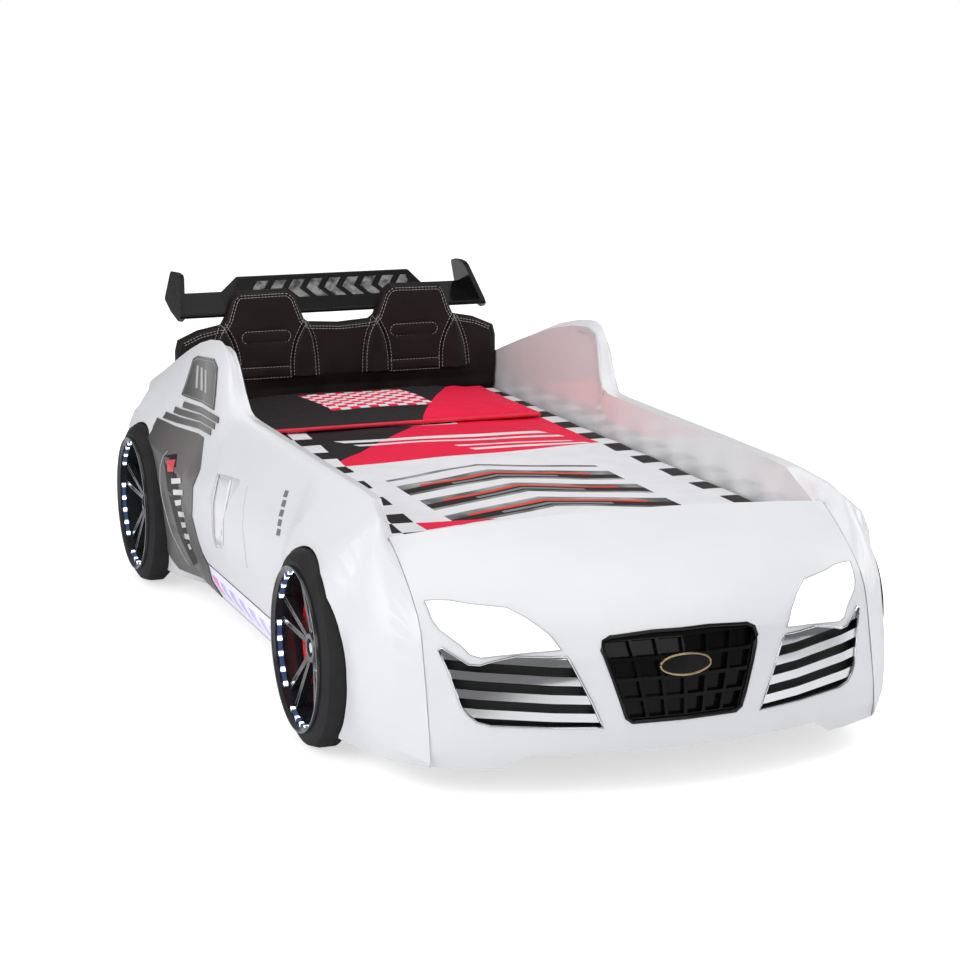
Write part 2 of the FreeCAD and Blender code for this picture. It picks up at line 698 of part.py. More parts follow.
def soft_block(swell, low, high, radius):
    """Upholstered block: rounded corners in plan and a rolled edge above and below."""
    wires = []
    steps = ((0.0, 1.0), (0.3, 0.3), (1.0, 0.0))
    levels = [(low + radius * a, radius * b) for a, b in steps]
    levels += [(high - radius * a, radius * b) for a, b in steps[::-1]]
    for z, inset in levels:
        x = half + swell - inset
        y0 = mattress_y0 - swell + inset
        y1 = mattress_y1 + swell - inset
        corner = 1.6 * radius
        cut = corner * 0.3
        ring = [(x, y0 + corner), (x, y1 - corner), (x - cut, y1 - cut), (x - corner, y1), (-x + corner, y1),
                (-x + cut, y1 - cut), (-x, y1 - corner), (-x, y0 + corner), (-x + cut, y0 + cut),
                (-x + corner, y0), (x - corner, y0), (x - cut, y0 + cut)]
        wires.append(polygon([V(a, b, z) for a, b in ring]))
    return Part.makeLoft(wires, True, True)


mattress_round = 20.0
mattress = soft_block(0.0, mattress_low, mattress_top, mattress_round)
cover_block = soft_block(cover_cloth, mattress_low - 30, bed_top, mattress_round + cover_cloth)
cover = cover_block.cut(mattress).cut(box(-600, 600, -1200, 1200, 0, mattress_low + mattress_round + 3))
save("mattress", mattress)
save("cover", cover)
pillow_front = 492.0
pillow_back = 955.0
pillow_half = 385.0
pillow_high = 42.0
pillow_z = bed_top + 0.3


def pillow_section(x, share):
    y0 = pillow_front + 14 * (1 - share)
    y1 = pillow_back - 14 * (1 - share)
    crown = pillow_high * (0.30 + 0.70 * share)
    swell = [0.0, 0.42, 0.74, 0.93, 1.0, 0.93, 0.74, 0.42, 0.0]
    depth = y1 - y0
    rows = [0.0, 0.03, 0.12, 0.28, 0.5, 0.72, 0.88, 0.97, 1.0]
    upper = [V(x, y0 + depth * u, pillow_z + 2 + (crown - 2) * v) for u, v in zip(rows, swell)]
    return polygon(upper + [V(x, y1, pillow_z), V(x, y0, pillow_z)])


sections = [pillow_section(pillow_half * u, 1 - abs(u) ** 3) for u in (-1, -0.85, -0.5, 0, 0.5, 0.85, 1)]
save("pillow", Part.makeLoft(sections, True, True))

# ---------------------------------------------------------------- light control on the rear board
case_x = 250.0
case_wide = 96.0
case_high = 60.0
case_deep = 32.0
case_z = 300.0
case_wall = 2.5
case = box(case_x, case_x + case_wide, rear_y, rear_y + case_deep, case_z, case_z + case_high)
case = case.cut(box(case_x + case_wall, case_x + case_wide - case_wall, rear_y - 1, rear_y + case_deep - case_wall,
                    case_z + case_wall, case_z + case_high - case_wall))
rocker_x = case_x + 30.0
rocker_z = case_z + case_high / 2
rocker_wide = 14.0
rocker_high = 22.0
rocker_room = 0.25
window = box(rocker_x - rocker_wide / 2 - rocker_room, rocker_x + rocker_wide / 2 + rocker_room,
             rear_y + case_deep - case_wall - 1, rear_y + case_deep + 1,
             rocker_z - rocker_high / 2 - 1.5, rocker_z + rocker_high / 2 + 1.5)
case = case.cut(window)
socket_x = case_x + 68.0
socket_end = rear_y + case_deep
case = case.fuse(box(socket_x - 7, socket_x + 7, socket_end - 11, socket_end, rocker_z - 7, rocker_z + 7))
case = case.cut(Part.makeCylinder(4, 10, V(socket_x, socket_end - 8, rocker_z), V(0, 1, 0)))
save("light_box", case)
pivot_y = rear_y + case_deep - 4.0
paddle = [(pivot_y - 5, rocker_z - 5), (pivot_y - 5, rocker_z + 5), (pivot_y + 2, rocker_z + rocker_high / 2 - 1),
          (pivot_y + 6, rocker_z + rocker_high / 2 - 1), (pivot_y + 4, rocker_z),
          (pivot_y + 6, rocker_z - rocker_high / 2 + 1), (pivot_y + 2, rocker_z - rocker_high / 2 + 1)]
save("rocker_switch", outline_yz(paddle, rocker_x - rocker_wide / 2, rocker_x + rocker_wide / 2))
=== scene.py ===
import bpy
import math
from functools import partial
import numpy as np
from mathutils import Matrix, Vector
from mathutils.bvhtree import BVHTree


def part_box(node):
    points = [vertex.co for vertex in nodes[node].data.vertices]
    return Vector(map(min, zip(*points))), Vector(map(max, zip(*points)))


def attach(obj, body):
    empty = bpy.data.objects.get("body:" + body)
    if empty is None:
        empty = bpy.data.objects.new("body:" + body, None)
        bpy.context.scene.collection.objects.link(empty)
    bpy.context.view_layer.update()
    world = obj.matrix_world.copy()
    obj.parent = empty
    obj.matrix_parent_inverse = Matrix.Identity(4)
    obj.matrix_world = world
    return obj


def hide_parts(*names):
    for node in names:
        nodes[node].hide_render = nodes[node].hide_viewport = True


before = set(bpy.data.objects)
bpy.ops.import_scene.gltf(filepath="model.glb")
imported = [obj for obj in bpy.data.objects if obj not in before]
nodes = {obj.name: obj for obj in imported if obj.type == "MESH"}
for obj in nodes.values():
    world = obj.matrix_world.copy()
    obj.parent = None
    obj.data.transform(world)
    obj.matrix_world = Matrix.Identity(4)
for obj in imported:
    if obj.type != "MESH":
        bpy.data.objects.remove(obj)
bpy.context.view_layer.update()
scene = bpy.context.scene

# ---------------------------------------------------------------- places read from the frame, in metres
cover_lo, cover_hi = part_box("cover")
mattress_lo, mattress_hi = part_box("mattress")
pillow_lo, pillow_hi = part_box("pillow")
pad_lo, pad_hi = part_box("headboard_pad")
seat_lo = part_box("seat_back_right")[0]


# ---------------------------------------------------------------- materials
def material(name):
    mat = bpy.data.materials.new(name)
    mat.use_nodes = True
    tree = mat.node_tree
    tree.nodes.clear()
    out = tree.nodes.new("ShaderNodeOutputMaterial")
    shader = tree.nodes.new("ShaderNodeBsdfPrincipled")
    tree.links.new(shader.outputs[0], out.inputs[0])
    return mat, tree, shader


def node(tree, kind, **settings):
    made = tree.nodes.new(kind)
    for key, value in settings.items():
        setattr(made, key, value)
    return made


def link(tree, a, b):
    tree.links.new(a, b)


def feed(tree, made, values):
    """A node's inputs, each from a plain value or from another node's output."""
    for key, value in values.items():
        if isinstance(value, bpy.types.NodeSocket):
            link(tree, value, made.inputs[key])
        else:
            made.inputs[key].default_value = value


def coordinates(tree, which="Object"):
    return node(tree, "ShaderNodeTexCoord").outputs[which]


def ramp(tree, source, stops):
    made = node(tree, "ShaderNodeValToRGB")
    elements = made.color_ramp.elements
    while len(elements) < len(stops):
        elements.new(0.5)
    for element, (place, value) in zip(elements, stops):
        element.position = place
        element.color = (*value, 1) if len(value) == 3 else value
    link(tree, source, made.inputs[0])
    return made.outputs[0]


def value_ramp(tree, source, a, b, low, high):
    made = node(tree, "ShaderNodeMapRange")
    feed(tree, made, {"Value": source, "From Min": a, "From Max": b, "To Min": low, "To Max": high})
    return made.outputs[0]


def noise(tree, where, scale, detail=3.0, rough=0.5):
    made = node(tree, "ShaderNodeTexNoise")
    feed(tree, made, {"Vector": where, "Scale": scale, "Detail": detail, "Roughness": rough})
    return made.outputs[0]


def cell_distance(tree, where, scale):
    made = node(tree, "ShaderNodeTexVoronoi")
    feed(tree, made, {"Vector": where, "Scale": scale})
    return made.outputs["Distance"]


def drifting(tree, source, low, high):
    """Value that goes from low to high with the middle range of a noise."""
    return value_ramp(tree, source, 0.3, 0.7, low, high)


def bump(tree, shader, height, strength, distance):
    made = node(tree, "ShaderNodeBump")
    feed(tree, made, {"Strength": strength, "Distance": distance, "Height": height})
    link(tree, made.outputs[0], shader.inputs["Normal"])


def plain(name, dark, light, rough, scale=9.0, metallic=0.0, coat=0.0, grain=0.0, grain_scale=400.0, spread=0.05,
          specular=0.5, coat_rough=0.04):
    """Material whose colour and sheen drift a little over the surface; a grey is given as one number."""
    mat, tree, shader = material(name)
    where = coordinates(tree)
    drift = noise(tree, where, scale)
    dark, light = ((c, c, c) if isinstance(c, float) else c for c in (dark, light))
    feed(tree, shader, {
        "Base Color": ramp(tree, drift, [(0.35, dark), (0.65, light)]), "Metallic": metallic,
        "Roughness": drifting(tree, drift, rough - spread * rough, rough + spread * rough),
        "Specular IOR Level": specular, "Coat Weight": coat, "Coat Roughness": coat_rough})
    if grain:
        bump(tree, shader, noise(tree, where, grain_scale), grain, 0.0004)
    return mat


def lit(name, dark, light, glow, strength, scale=60.0):
    mat, tree, shader = material(name)
    where = coordinates(tree)
    cells = cell_distance(tree, where, scale)
    feed(tree, shader, {
        "Base Color": ramp(tree, cells, [(0.0, light), (0.8, dark)]),
        "Emission Color": ramp(tree, cells, [(0.0, glow), (0.9, dark)]),
        "Emission Strength": drifting(tree, noise(tree, where, 20), strength * 0.9, strength * 1.1),
        "Roughness": 0.15})
    return mat


white = plain("gloss_white", (0.785, 0.79, 0.805), (0.80, 0.805, 0.82), 0.34, coat=0.12, coat_rough=0.22,
              specular=0.4)
board_white = plain("board_white", (0.78, 0.78, 0.785), (0.80, 0.80, 0.805), 0.12, coat=0.12, specular=0.4)
# painted shade: the door handle recess is a slightly darker copy of the body white
handle_white = plain("handle_white", (0.74, 0.745, 0.76), (0.77, 0.775, 0.79), 0.25, coat=0.3)
# painted highlight: the handle bar is a brighter copy of the body white
bar_painted_highlight_white = plain("handle_bar_white", (0.86, 0.865, 0.875), (0.88, 0.885, 0.895), 0.2, coat=0.4)
black_gloss = plain("black_gloss", 0.004, 0.007, 0.13, specular=0.32)
grille_black = plain("grille_black", 0.003, 0.005, 0.16, specular=0.14)
wing_gloss = plain("wing_gloss", 0.004, 0.007, 0.15, specular=0.2)
# painted shade: the body white as it looks in shade
shaded_edge_grey = plain("shaded_edge_grey", (0.66, 0.665, 0.68), (0.70, 0.705, 0.72), 0.4, specular=0.3)
black_satin = plain("black_satin", 0.012, 0.02, 0.45, grain=0.2, specular=0.3)
black_board = plain("black_board", (0.013, 0.011, 0.011), (0.018, 0.016, 0.016), 0.5, grain=0.2, specular=0.3)
chrome = plain("chrome", (0.78, 0.79, 0.80), (0.84, 0.85, 0.86), 0.13, metallic=1.0)
bronze = plain("bronze_rim", (0.34, 0.26, 0.14), (0.48, 0.38, 0.22), 0.25, metallic=1.0)
caliper_red = plain("caliper_red", (0.84, 0.02, 0.03), (0.90, 0.04, 0.05), 0.3, coat=0.2)
rubber = plain("tyre_rubber", (0.019, 0.019, 0.020), (0.025, 0.025, 0.026), 0.6, scale=25, grain=0.3, grain_scale=900,
               specular=0.2)
wheel_black = plain("wheel_black", (0.016, 0.017, 0.019), (0.028, 0.029, 0.032), 0.22, coat=0.25)
spoke_edge = plain("spoke_edge", (0.24, 0.24, 0.245), (0.34, 0.34, 0.345), 0.3, metallic=0.4)
steel = plain("zinc_steel", (0.45, 0.45, 0.46), 0.6, 0.3, metallic=1.0)
# grey lines: real joints, and also the painted shade of the crease beside the door handle
line_grey = plain("joint_and_crease_shade_grey", (0.50, 0.50, 0.51), (0.56, 0.56, 0.57), 0.6)
# dark lines: real joints, and also the painted shadow beside the door handle bar
line_dark = plain("joint_and_shadow_dark", (0.10, 0.10, 0.11), (0.14, 0.14, 0.15), 0.5)
mark_silver = plain("mark_silver", 0.42, 0.52, 0.35, coat=0.1)
mark_grey = plain("mark_grey", (0.16, 0.16, 0.17), (0.22, 0.22, 0.23), 0.4)
mark_white = plain("mark_white", 0.72, 0.80, 0.35, coat=0.2)
mark_black = plain("mark_black", 0.012, 0.018, 0.35)
mark_red = plain("mark_red", (0.70, 0.06, 0.07), (0.78, 0.09, 0.10), 0.35, coat=0.2)
lamp = lit("lamp_lit", (0.9, 0.94, 1.0), (1, 1, 1), (0.97, 0.985, 1.0), 0.62)
rocker_red = lit("rocker_lit", (0.5, 0.01, 0.01), (0.7, 0.03, 0.03), (0.9, 0.05, 0.04), 0.3)


def math_node(tree, operation, *inputs):
    made = node(tree, "ShaderNodeMath", operation=operation)
    feed(tree, made, dict(enumerate(inputs)))
    return made.outputs[0]


def mix_colour(tree, factor, a, b):
    made = node(tree, "ShaderNodeMix", data_type="RGBA")
    feed(tree, made, {"Factor": factor, "A": a, "B": b})
    return made.outputs["Result"]


def xyz(tree, which="Object"):
    split = node(tree, "ShaderNodeSeparateXYZ")
    link(tree, coordinates(tree, which), split.inputs[0])
    return split.outputs


def led_material():
    """Row of lit dots round each rim, on a dark blue strip."""
    mat, tree, shader = material("led_lit")
    m = partial(math_node, tree)
    _, Y, Z = xyz(tree)
    lo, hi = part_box("wheel_cover_front_right")
    front_y, axle_z = (lo.y + hi.y) / 2, (lo.z + hi.z) / 2
    lo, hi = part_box("wheel_cover_rear_right")
    rear_y = (lo.y + hi.y) / 2
    at_rear = m("GREATER_THAN", Y, (front_y + rear_y) / 2)
    across = m("SUBTRACT", m("SUBTRACT", Y, front_y), m("MULTIPLY", at_rear, rear_y - front_y))
    angle = m("ARCTAN2", m("SUBTRACT", Z, axle_z), across)
    step = math.radians(12)
    along = m("PINGPONG", angle, step / 2)
    dot = value_ramp(tree, along, step / 2 * 0.62, step / 2 * 0.80, 0.0, 1.0)
    dot = m("MAXIMUM", m("MINIMUM", dot, 1.0), 0.0)
    wide = m("PINGPONG", angle, step)
    main = m("GREATER_THAN", wide, step * 0.5)
    bright = m("MULTIPLY_ADD", m("MULTIPLY", dot, main), 5.0, 0.35)
    feed(tree, shader, {
        "Base Color": mix_colour(tree, dot, (0.02, 0.03, 0.08, 1), (0.85, 0.92, 1.0, 1)),
        "Emission Color": mix_colour(tree, dot, (0.10, 0.16, 0.40, 1), (0.80, 0.90, 1.0, 1)),
        "Emission Strength": m("ADD", bright, m("MULTIPLY", dot, 1.2)),
        "Roughness": drifting(tree, noise(tree, coordinates(tree), 30), 0.2, 0.3)})
    return mat


def pillar_sheen_material(name, low, high):
    """Charcoal gloss with a painted sheen: the colour is lightest in the middle between the rear edge and the front
    edge.
    """
    mat, tree, shader = material(name)
    m = partial(math_node, tree)
    _, Y, _ = xyz(tree)
    drift = noise(tree, coordinates(tree), 6.0)
    lane = m("ADD", Y, m("MULTIPLY", drift, 0.04))
    # painted sheen: dark at the front and rear edges, light in the middle
    stops = [(0.0, (0.075, 0.072, 0.069)), (0.55, (0.185, 0.178, 0.172)), (1.0, (0.055, 0.053, 0.051))]
    feed(tree, shader, {
        "Base Color": ramp(tree, value_ramp(tree, lane, low, high, 1.0, 0.0), stops),
        "Roughness": drifting(tree, drift, 0.26, 0.34), "Coat Weight": 0.15, "Specular IOR Level": 0.35})
    return mat


def wing_panel_material():
    """Gloss black with a row of slanted silver blocks, each shaded from bright to dim."""
    mat, tree, shader = material("wing_panel_black")
    m = partial(math_node, tree)
    X, _, Z = xyz(tree)
    drift = noise(tree, coordinates(tree), 40.0, 2.0)
    row_z, pitch = 0.716, 0.052
    lane = m("ADD", X, m("MULTIPLY", m("ABSOLUTE", m("SUBTRACT", Z, row_z)), -1.1))
    place = m("FLOORED_MODULO", m("ADD", lane, 1.0), pitch)
    on = m("LESS_THAN", place, pitch * 0.62)
    inside = m("MULTIPLY", m("COMPARE", Z, row_z, 0.021), m("COMPARE", X, 0.01, 0.225))
    on_front = m("LESS_THAN", xyz(tree, "Normal")["Y"], 0.0)
    on = m("MULTIPLY", on, m("MULTIPLY", inside, on_front))
    silver = ramp(tree, drift, [(0.35, (0.05, 0.05, 0.05)), (0.62, (0.24, 0.235, 0.23))])
    feed(tree, shader, {"Base Color": mix_colour(tree, on, (0.006, 0.006, 0.006, 1), silver),
                        "Roughness": drifting(tree, drift, 0.2, 0.3), "Specular IOR Level": 0.15})
    return mat


led = led_material()
cap_lo, cap_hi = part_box("pillar_cap_right")
blade_lo, blade_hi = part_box("pillar_blade_right")
charcoal_cap_painted_sheen = pillar_sheen_material("charcoal_cap_painted_sheen", cap_lo.y, cap_hi.y)
charcoal_blade_painted_sheen = pillar_sheen_material("charcoal_blade_painted_sheen", blade_lo.y, blade_hi.y)
wing_panel_black = wing_panel_material()


def wood(name, dark, light, along):
    mat, tree, shader = material(name)
    where = coordinates(tree)
    stretch = node(tree, "ShaderNodeMapping")
    feed(tree, stretch, {"Vector": where, "Scale": tuple(2.0 if axis == along else 40.0 for axis in range(3))})
    grain = noise(tree, stretch.outputs[0], 1.0, 6.0, 0.6)
    feed(tree, shader, {"Base Color": ramp(tree, grain, [(0.3, dark), (0.7, light)]),
                        "Roughness": drifting(tree, grain, 0.5, 0.65)})
    bump(tree, shader, grain, 0.2, 0.0003)
    return mat


birch = wood("birch", (0.52, 0.36, 0.2), (0.68, 0.5, 0.3), 0)
pine = wood("pine", (0.5, 0.33, 0.17), (0.66, 0.46, 0.26), 1)


def sill_material():
    """Lavender light panel with a row of bright slanted bars and one pink square."""
    mat, tree, shader = material("sill_lit")
    m = partial(math_node, tree)
    _, Y, Z = xyz(tree)
    slant = m("MULTIPLY_ADD", Z, -0.5, Y)
    bars = value_ramp(tree, m("PINGPONG", slant, 0.045), 0.020, 0.022, 0.0, 1.0)
    inside = m("COMPARE", Z, 0.108, 0.022)
    bars = m("MULTIPLY", m("MULTIPLY", bars, inside), m("LESS_THAN", Y, 0.235))
    square = m("MULTIPLY", m("COMPARE", Y, 0.268, 0.026), inside)
    colour = mix_colour(tree, bars, (0.80, 0.79, 0.92, 1), (0.50, 0.42, 0.82, 1))
    colour = mix_colour(tree, square, colour, (0.85, 0.25, 0.5, 1))
    glow = drifting(tree, noise(tree, coordinates(tree), 12), 0.25, 0.32)
    feed(tree, shader, {"Base Color": colour, "Emission Color": colour, "Emission Strength": glow, "Roughness": 0.25})
    return mat


sill = sill_material()

finish = {
    "front_shell": white, "foot_board": board_white, "rear_board": board_white, "rear_deck": board_white,
    "headboard_board": black_board, "grille": grille_black, "grille_badge": black_gloss,
    "wing_blade": wing_gloss, "wing_panel": wing_panel_black, "rim_light_strips": led, "corner_posts": pine,
    "bolts": steel, "slats": birch, "centre_beam": pine, "light_box": black_satin, "rocker_switch": rocker_red,
}
pairs = {
    "side_panel": white, "side_board": board_white, "hump_trim": black_satin, "door_handle": handle_white,
    "sill_light": sill, "pillar_cap": charcoal_cap_painted_sheen, "pillar_blade": charcoal_blade_painted_sheen, "lamp_lens": lamp,
    "lamp_housing": black_satin, "louvre_pan": black_satin, "louvre_bars": chrome, "brake_caliper": caliper_red,
    "wing_fin": wing_gloss, "wing_post": wing_gloss, "ledger": pine, "tyre_front": rubber, "tyre_rear": rubber,
    "wheel_cover_front": wheel_black, "wheel_cover_rear": wheel_black,
}
for stem, mat in pairs.items():
    finish[stem + "_left"] = finish[stem + "_right"] = mat
# painted shade: the right trim gets the pale grey of the body white in shade, not the black satin of the left trim
finish["hump_trim_right"] = shaded_edge_grey  # the photograph shows no dark line on this side
for name, mat in finish.items():
    obj = nodes[name]
    obj.data.materials.clear()
    obj.data.materials.append(mat)
    obj.data.polygons.foreach_set("use_smooth", [True] * len(obj.data.polygons))


def smooth_by_angle(obj, degrees):
    """Faces that meet at less than the angle run into each other, the others keep a sharp edge."""
    join = obj.modifiers.new("join", "WELD")
    join.merge_threshold = 0.00004
    split = obj.modifiers.new("split", "EDGE_SPLIT")
    split.split_angle = math.radians(degrees)
    split.use_edge_sharp = False
    even = obj.modifiers.new("even", "WEIGHTED_NORMAL")
    even.mode = "FACE_AREA_WITH_ANGLE"
    even.weight = 50
    even.keep_sharp = False


for name in finish:
    smooth_by_angle(nodes[name], 38 if name == "front_shell" or name.startswith(("side_panel", "side_board")) else 30)


# ---------------------------------------------------------------- mesh helpers
def mesh_object(name, vertices, faces, mat, body, smooth=True):
    mesh = bpy.data.meshes.new(name)
    mesh.from_pydata([tuple(v) for v in vertices], [], faces)
    mesh.validate()
    mesh.update()
    obj = bpy.data.objects.new(name, mesh)
    scene.collection.objects.link(obj)
    mesh.materials.append(mat)
    if smooth:
        mesh.polygons.foreach_set("use_smooth", [True] * len(mesh.polygons))
    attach(obj, body)
    return obj


def grid_faces(rows, columns, start=0, closed=False):
    faces = []
    for r in range(rows - 1):
        for c in range(columns if closed else columns - 1):
            d = (c + 1) % columns
            faces.append((start + r * columns + c, start + r * columns + d,
                          start + (r + 1) * columns + d, start + (r + 1) * columns + c))
    return faces


def grid_rim(rows, columns):
    """Indices round the edge of a grid."""
    rim = list(range(columns)) + [r * columns + columns - 1 for r in range(1, rows)]
    rim += [(rows - 1) * columns + c for c in range(columns - 2, -1, -1)]
    return rim + [r * columns for r in range(rows - 2, 0, -1)]


def shifted(faces, base, turn=1):
    """Faces with all indices raised by base; turn -1 makes them look the other way."""
    return [tuple(i + base for i in face[::turn]) for face in faces]


def circle(count):
    angles = [2 * math.pi * k / count for k in range(count)]
    return [(math.cos(angle), math.sin(angle)) for angle in angles]


def tube(points, radius, sides=8, closed=False):
    """Vertices and faces of a round tube along points."""
    points = [Vector(p) for p in points]
    count = len(points)
    vertices = []
    for i, p in enumerate(points):
        before = points[(i - 1) % count] if closed or i else points[0]
        after = points[(i + 1) % count] if closed or i < count - 1 else points[-1]
        along = (after - before).normalized()
        across = along.cross(Vector((0.13, 0.21, 0.97))).normalized()
        up = across.cross(along).normalized()
        vertices += [p + (across * cos + up * sin) * radius for cos, sin in circle(sides)]
    faces = []
    for i in range(count if closed else count - 1):
        j = (i + 1) % count
        for k in range(sides):
            m = (k + 1) % sides
            faces.append((i * sides + k, i * sides + m, j * sides + m, j * sides + k))
    if not closed:
        faces.append(tuple(range(sides))[::-1])
        faces.append(tuple((count - 1) * sides + k for k in range(sides)))
    return vertices, faces


# ---------------------------------------------------------------- headboard upholstery
def leather():
    mat, tree, shader = material("leatherette")
    where = coordinates(tree)
    drift = noise(tree, where, 7.0)
    feed(tree, shader, {
        "Base Color": ramp(tree, drift, [(0.3, (0.0095, 0.0065, 0.0062)), (0.7, (0.0135, 0.0090, 0.0088))]),
        "Roughness": drifting(tree, drift, 0.46, 0.54), "Specular IOR Level": 0.25})
    bump(tree, shader, cell_distance(tree, where, 420.0), 0.3, 0.0005)
    return mat


leatherette = leather()
thread = plain("thread", (0.42, 0.40, 0.38), (0.55, 0.53, 0.5), 0.6, scale=300)

edge = .4595  # half the headboard's width
bolster_top = .487
seat_foot = .641  # the seat's outline above this height, the arcs below it
head_half = [(0, .628), (.088, .634), (.102, .645), (.126, .709), (.148, .728), (.291, .726), (.306, .707),
             (.322, .655), (.330, .640), (.335, .636), (.397, .624), (.452, .600), (edge, .570)]
arc_in = [(.330, .640), (.304, .590), (.292, .545), (.290, bolster_top)]
arc_out = [(.333, .637), (.352, .594), (.366, .548), (.372, bolster_top)]
arc_in2 = [(.102, seat_foot), (.128, .590), (.139, .540), (.140, bolster_top)]
arc_out2 = [(.100, seat_foot), (.080, .598), (.070, .545), (.068, bolster_top)]


def smooth_line(points, count):
    """Points along a curve through the given ones."""
    pts = np.array(points, float)
    t = np.linspace(0, len(pts) - 1, count)
    result = []
    for u in t:
        i = min(int(u), len(pts) - 2)
        f = u - i
        p0 = pts[max(i - 1, 0)]
        p1, p2 = pts[i], pts[i + 1]
        p3 = pts[min(i + 2, len(pts) - 1)]
        result.append(0.5 * ((2 * p1) + (-p0 + p2) * f + (2 * p0 - 5 * p1 + 4 * p2 - p3) * f * f
                             + (-p0 + 3 * p1 - 3 * p2 + p3) * f ** 3))
    return np.array(result)


def distance_to(points, x, z):
    """Distance of (x, z) arrays to an open polyline."""
    best = np.full(x.shape, 9.0)
    for (ax, az), (bx, bz) in zip(points[:-1], points[1:]):
        dx, dz = bx - ax, bz - az
        t = np.clip(((x - ax) * dx + (z - az) * dz) / (dx * dx + dz * dz), 0, 1)
        best = np.minimum(best, np.hypot(x - ax - t * dx, z - az - t * dz))
    return best


outline = np.array([(-x, z) for x, z in head_half[:0:-1]] + head_half)
seams = []
for sign in (-1, 1):
    for line in (arc_in, arc_out, arc_in2, arc_out2):
        seams.append(smooth_line([(sign * x, z) for x, z in line], 24))
low_seams = [np.array([(sign * .290, z), (sign * .140, z)]) for sign in (-1, 1) for z in (.517, bolster_top)]
slot_lines = []
for sign in (-1, 1):
    cx, cz, w, h = sign * .212, .6005, .052, .0165
    ring = [(cx + math.copysign(w, cos) + h * cos, cz + h * sin) for cos, sin in circle(32)]
    slot_lines.append(np.array(ring + ring[:1]))

front_y = seat_lo.y
back_y = pad_hi.y
proud = 0.012


def arc_x(arc, z):
    """Place across the bed of a seat's arc at the heights z."""
    xs, zs = zip(*arc[::-1])
    return np.interp(z, zs, xs)


def upholstery_face(x, z):
    """Distance behind the foremost plane for each (x, z) of the headboard's front."""
    ax = np.abs(x)
    inner, outer, inner2, outer2 = (arc_x(arc, z) for arc in (arc_in, arc_out, arc_in2, arc_out2))
    depth = np.full(x.shape, proud * 1.15)
    seat = (ax > inner2) & (ax < inner) | (z > seat_foot) & (ax > .095) & (ax < .335)
    depth = np.where(seat, proud * 0.55, depth)
    for a, b in ((inner, outer), (outer2, inner2)):
        inside = (ax > a) & (ax < b) & (z < seat_foot)
        u = np.clip((ax - a) / np.maximum(b - a, 1e-4), 0, 1)
        bulge = np.sin(np.pi * u)
        depth = np.where(inside, proud * (1.0 - 0.95 * bulge ** 0.7), depth)
    for line in seams:
        d = distance_to(line, x, z)
        depth += 0.0035 * np.exp(-(d / 0.0035) ** 2)
    for line in low_seams + slot_lines:
        d = distance_to(line, x, z)
        depth += 0.0022 * np.exp(-(d / 0.003) ** 2)
    bolster = np.maximum(depth, proud * (1.2 + 0.6 * np.clip((bolster_top - z) / .03, 0, 1)))
    depth = np.where(z < bolster_top, bolster, depth)
    soft = 0.0011 * np.sin(x * 31 + 1.3) * np.sin(z * 43 + .4) + 0.0007 * np.sin(x * 73) * np.sin(z * 57 + 2)
    return depth + soft


roll_radius = 0.016


def rim_roll(d):
    """How far the cover falls back at distances d from the outline, with the dip of the stitching."""
    fall = roll_radius * (1 - np.sqrt(np.clip(1 - (1 - d / roll_radius) ** 2, 0, 1)))
    return np.where(d < roll_radius, fall, 0) + 0.0016 * np.exp(-((d - 0.013) / 0.0026) ** 2)


def upholstery(columns):
    """The headboard's padded cover over the given columns, rolled over at the outline, closed at the back."""
    xs = np.array(columns)
    tops = np.interp(xs, outline[:, 0], outline[:, 1])
    rows = 60
    vs = np.linspace(0, 1, rows)
    X = np.repeat(xs[None, :], rows, 0)
    Z = pad_lo.z + (tops[None, :] - pad_lo.z) * vs[:, None]
    d = distance_to(outline, X, Z)
    d = np.minimum(d, np.abs(np.abs(X) - edge))
    Y = front_y + upholstery_face(X, Z) + rim_roll(d)
    Y = np.minimum(Y, back_y - 0.001)
    front = np.stack([X, Y, Z], -1).reshape(-1, 3)
    back = np.stack([X, np.full_like(Y, back_y), Z], -1).reshape(-1, 3)
    n = len(xs)
    vertices = np.concatenate([front, back])
    faces = grid_faces(rows, n)
    offset = rows * n
    faces += shifted(faces, offset, -1)
    for c in range(n - 1):
        faces.append((c + 1, c, c + offset, c + 1 + offset))
        t = (rows - 1) * n + c
        faces.append((t, t + 1, t + 1 + offset, t + offset))
    for r in range(rows - 1):
        a = r * n
        faces.append((a, a + n, a + n + offset, a + offset))
        b = r * n + n - 1
        faces.append((b + n, b, b + offset, b + n + offset))
    obj = mesh_object("headboard_cushion", vertices, faces, leatherette, "bed")
    obj.data.set_sharp_from_angle(angle=math.radians(60))
    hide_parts("headboard_pad", "seat_back_left", "seat_back_right")
    return obj


def spread(a, b, step):
    count = max(2, int(round(abs(b - a) / step)) + 1)
    return list(np.linspace(a, b, count))


def merged(*parts):
    return sorted(set(round(v, 5) for part in parts for v in part))


all_x = merged(spread(-edge, edge, .005), [s * x for s in (-1, 1) for x, z in head_half],
               spread(.088, .150, .002), spread(-.150, -.088, .002), spread(.286, .336, .002),
               spread(-.336, -.286, .002), spread(.445, edge, .002), spread(-edge, -.445, .002))
head = upholstery(all_x)


def stitch_line(points, offset=0.0):
    """Thread dashes laid along a line on the upholstery, in x and z."""
    pts = np.array(points, float)
    seg = np.hypot(*np.diff(pts, axis=0).T)
    run = np.concatenate([[0], np.cumsum(seg)])
    dash, gap = 0.0065, 0.0030
    place = 0.0
    made = []
    while place + dash < run[-1]:
        ends = []
        for s in (place, place + dash):
            x = np.interp(s, run, pts[:, 0])
            z = np.interp(s, run, pts[:, 1])
            ends.append((x, z))
        (x0, z0), (x1, z1) = ends
        length = math.hypot(x1 - x0, z1 - z0)
        nx, nz = -(z1 - z0) / length * offset, (x1 - x0) / length * offset
        made.append(((x0 + nx, z0 + nz), (x1 + nx, z1 + nz)))
        place += dash + gap
    return made


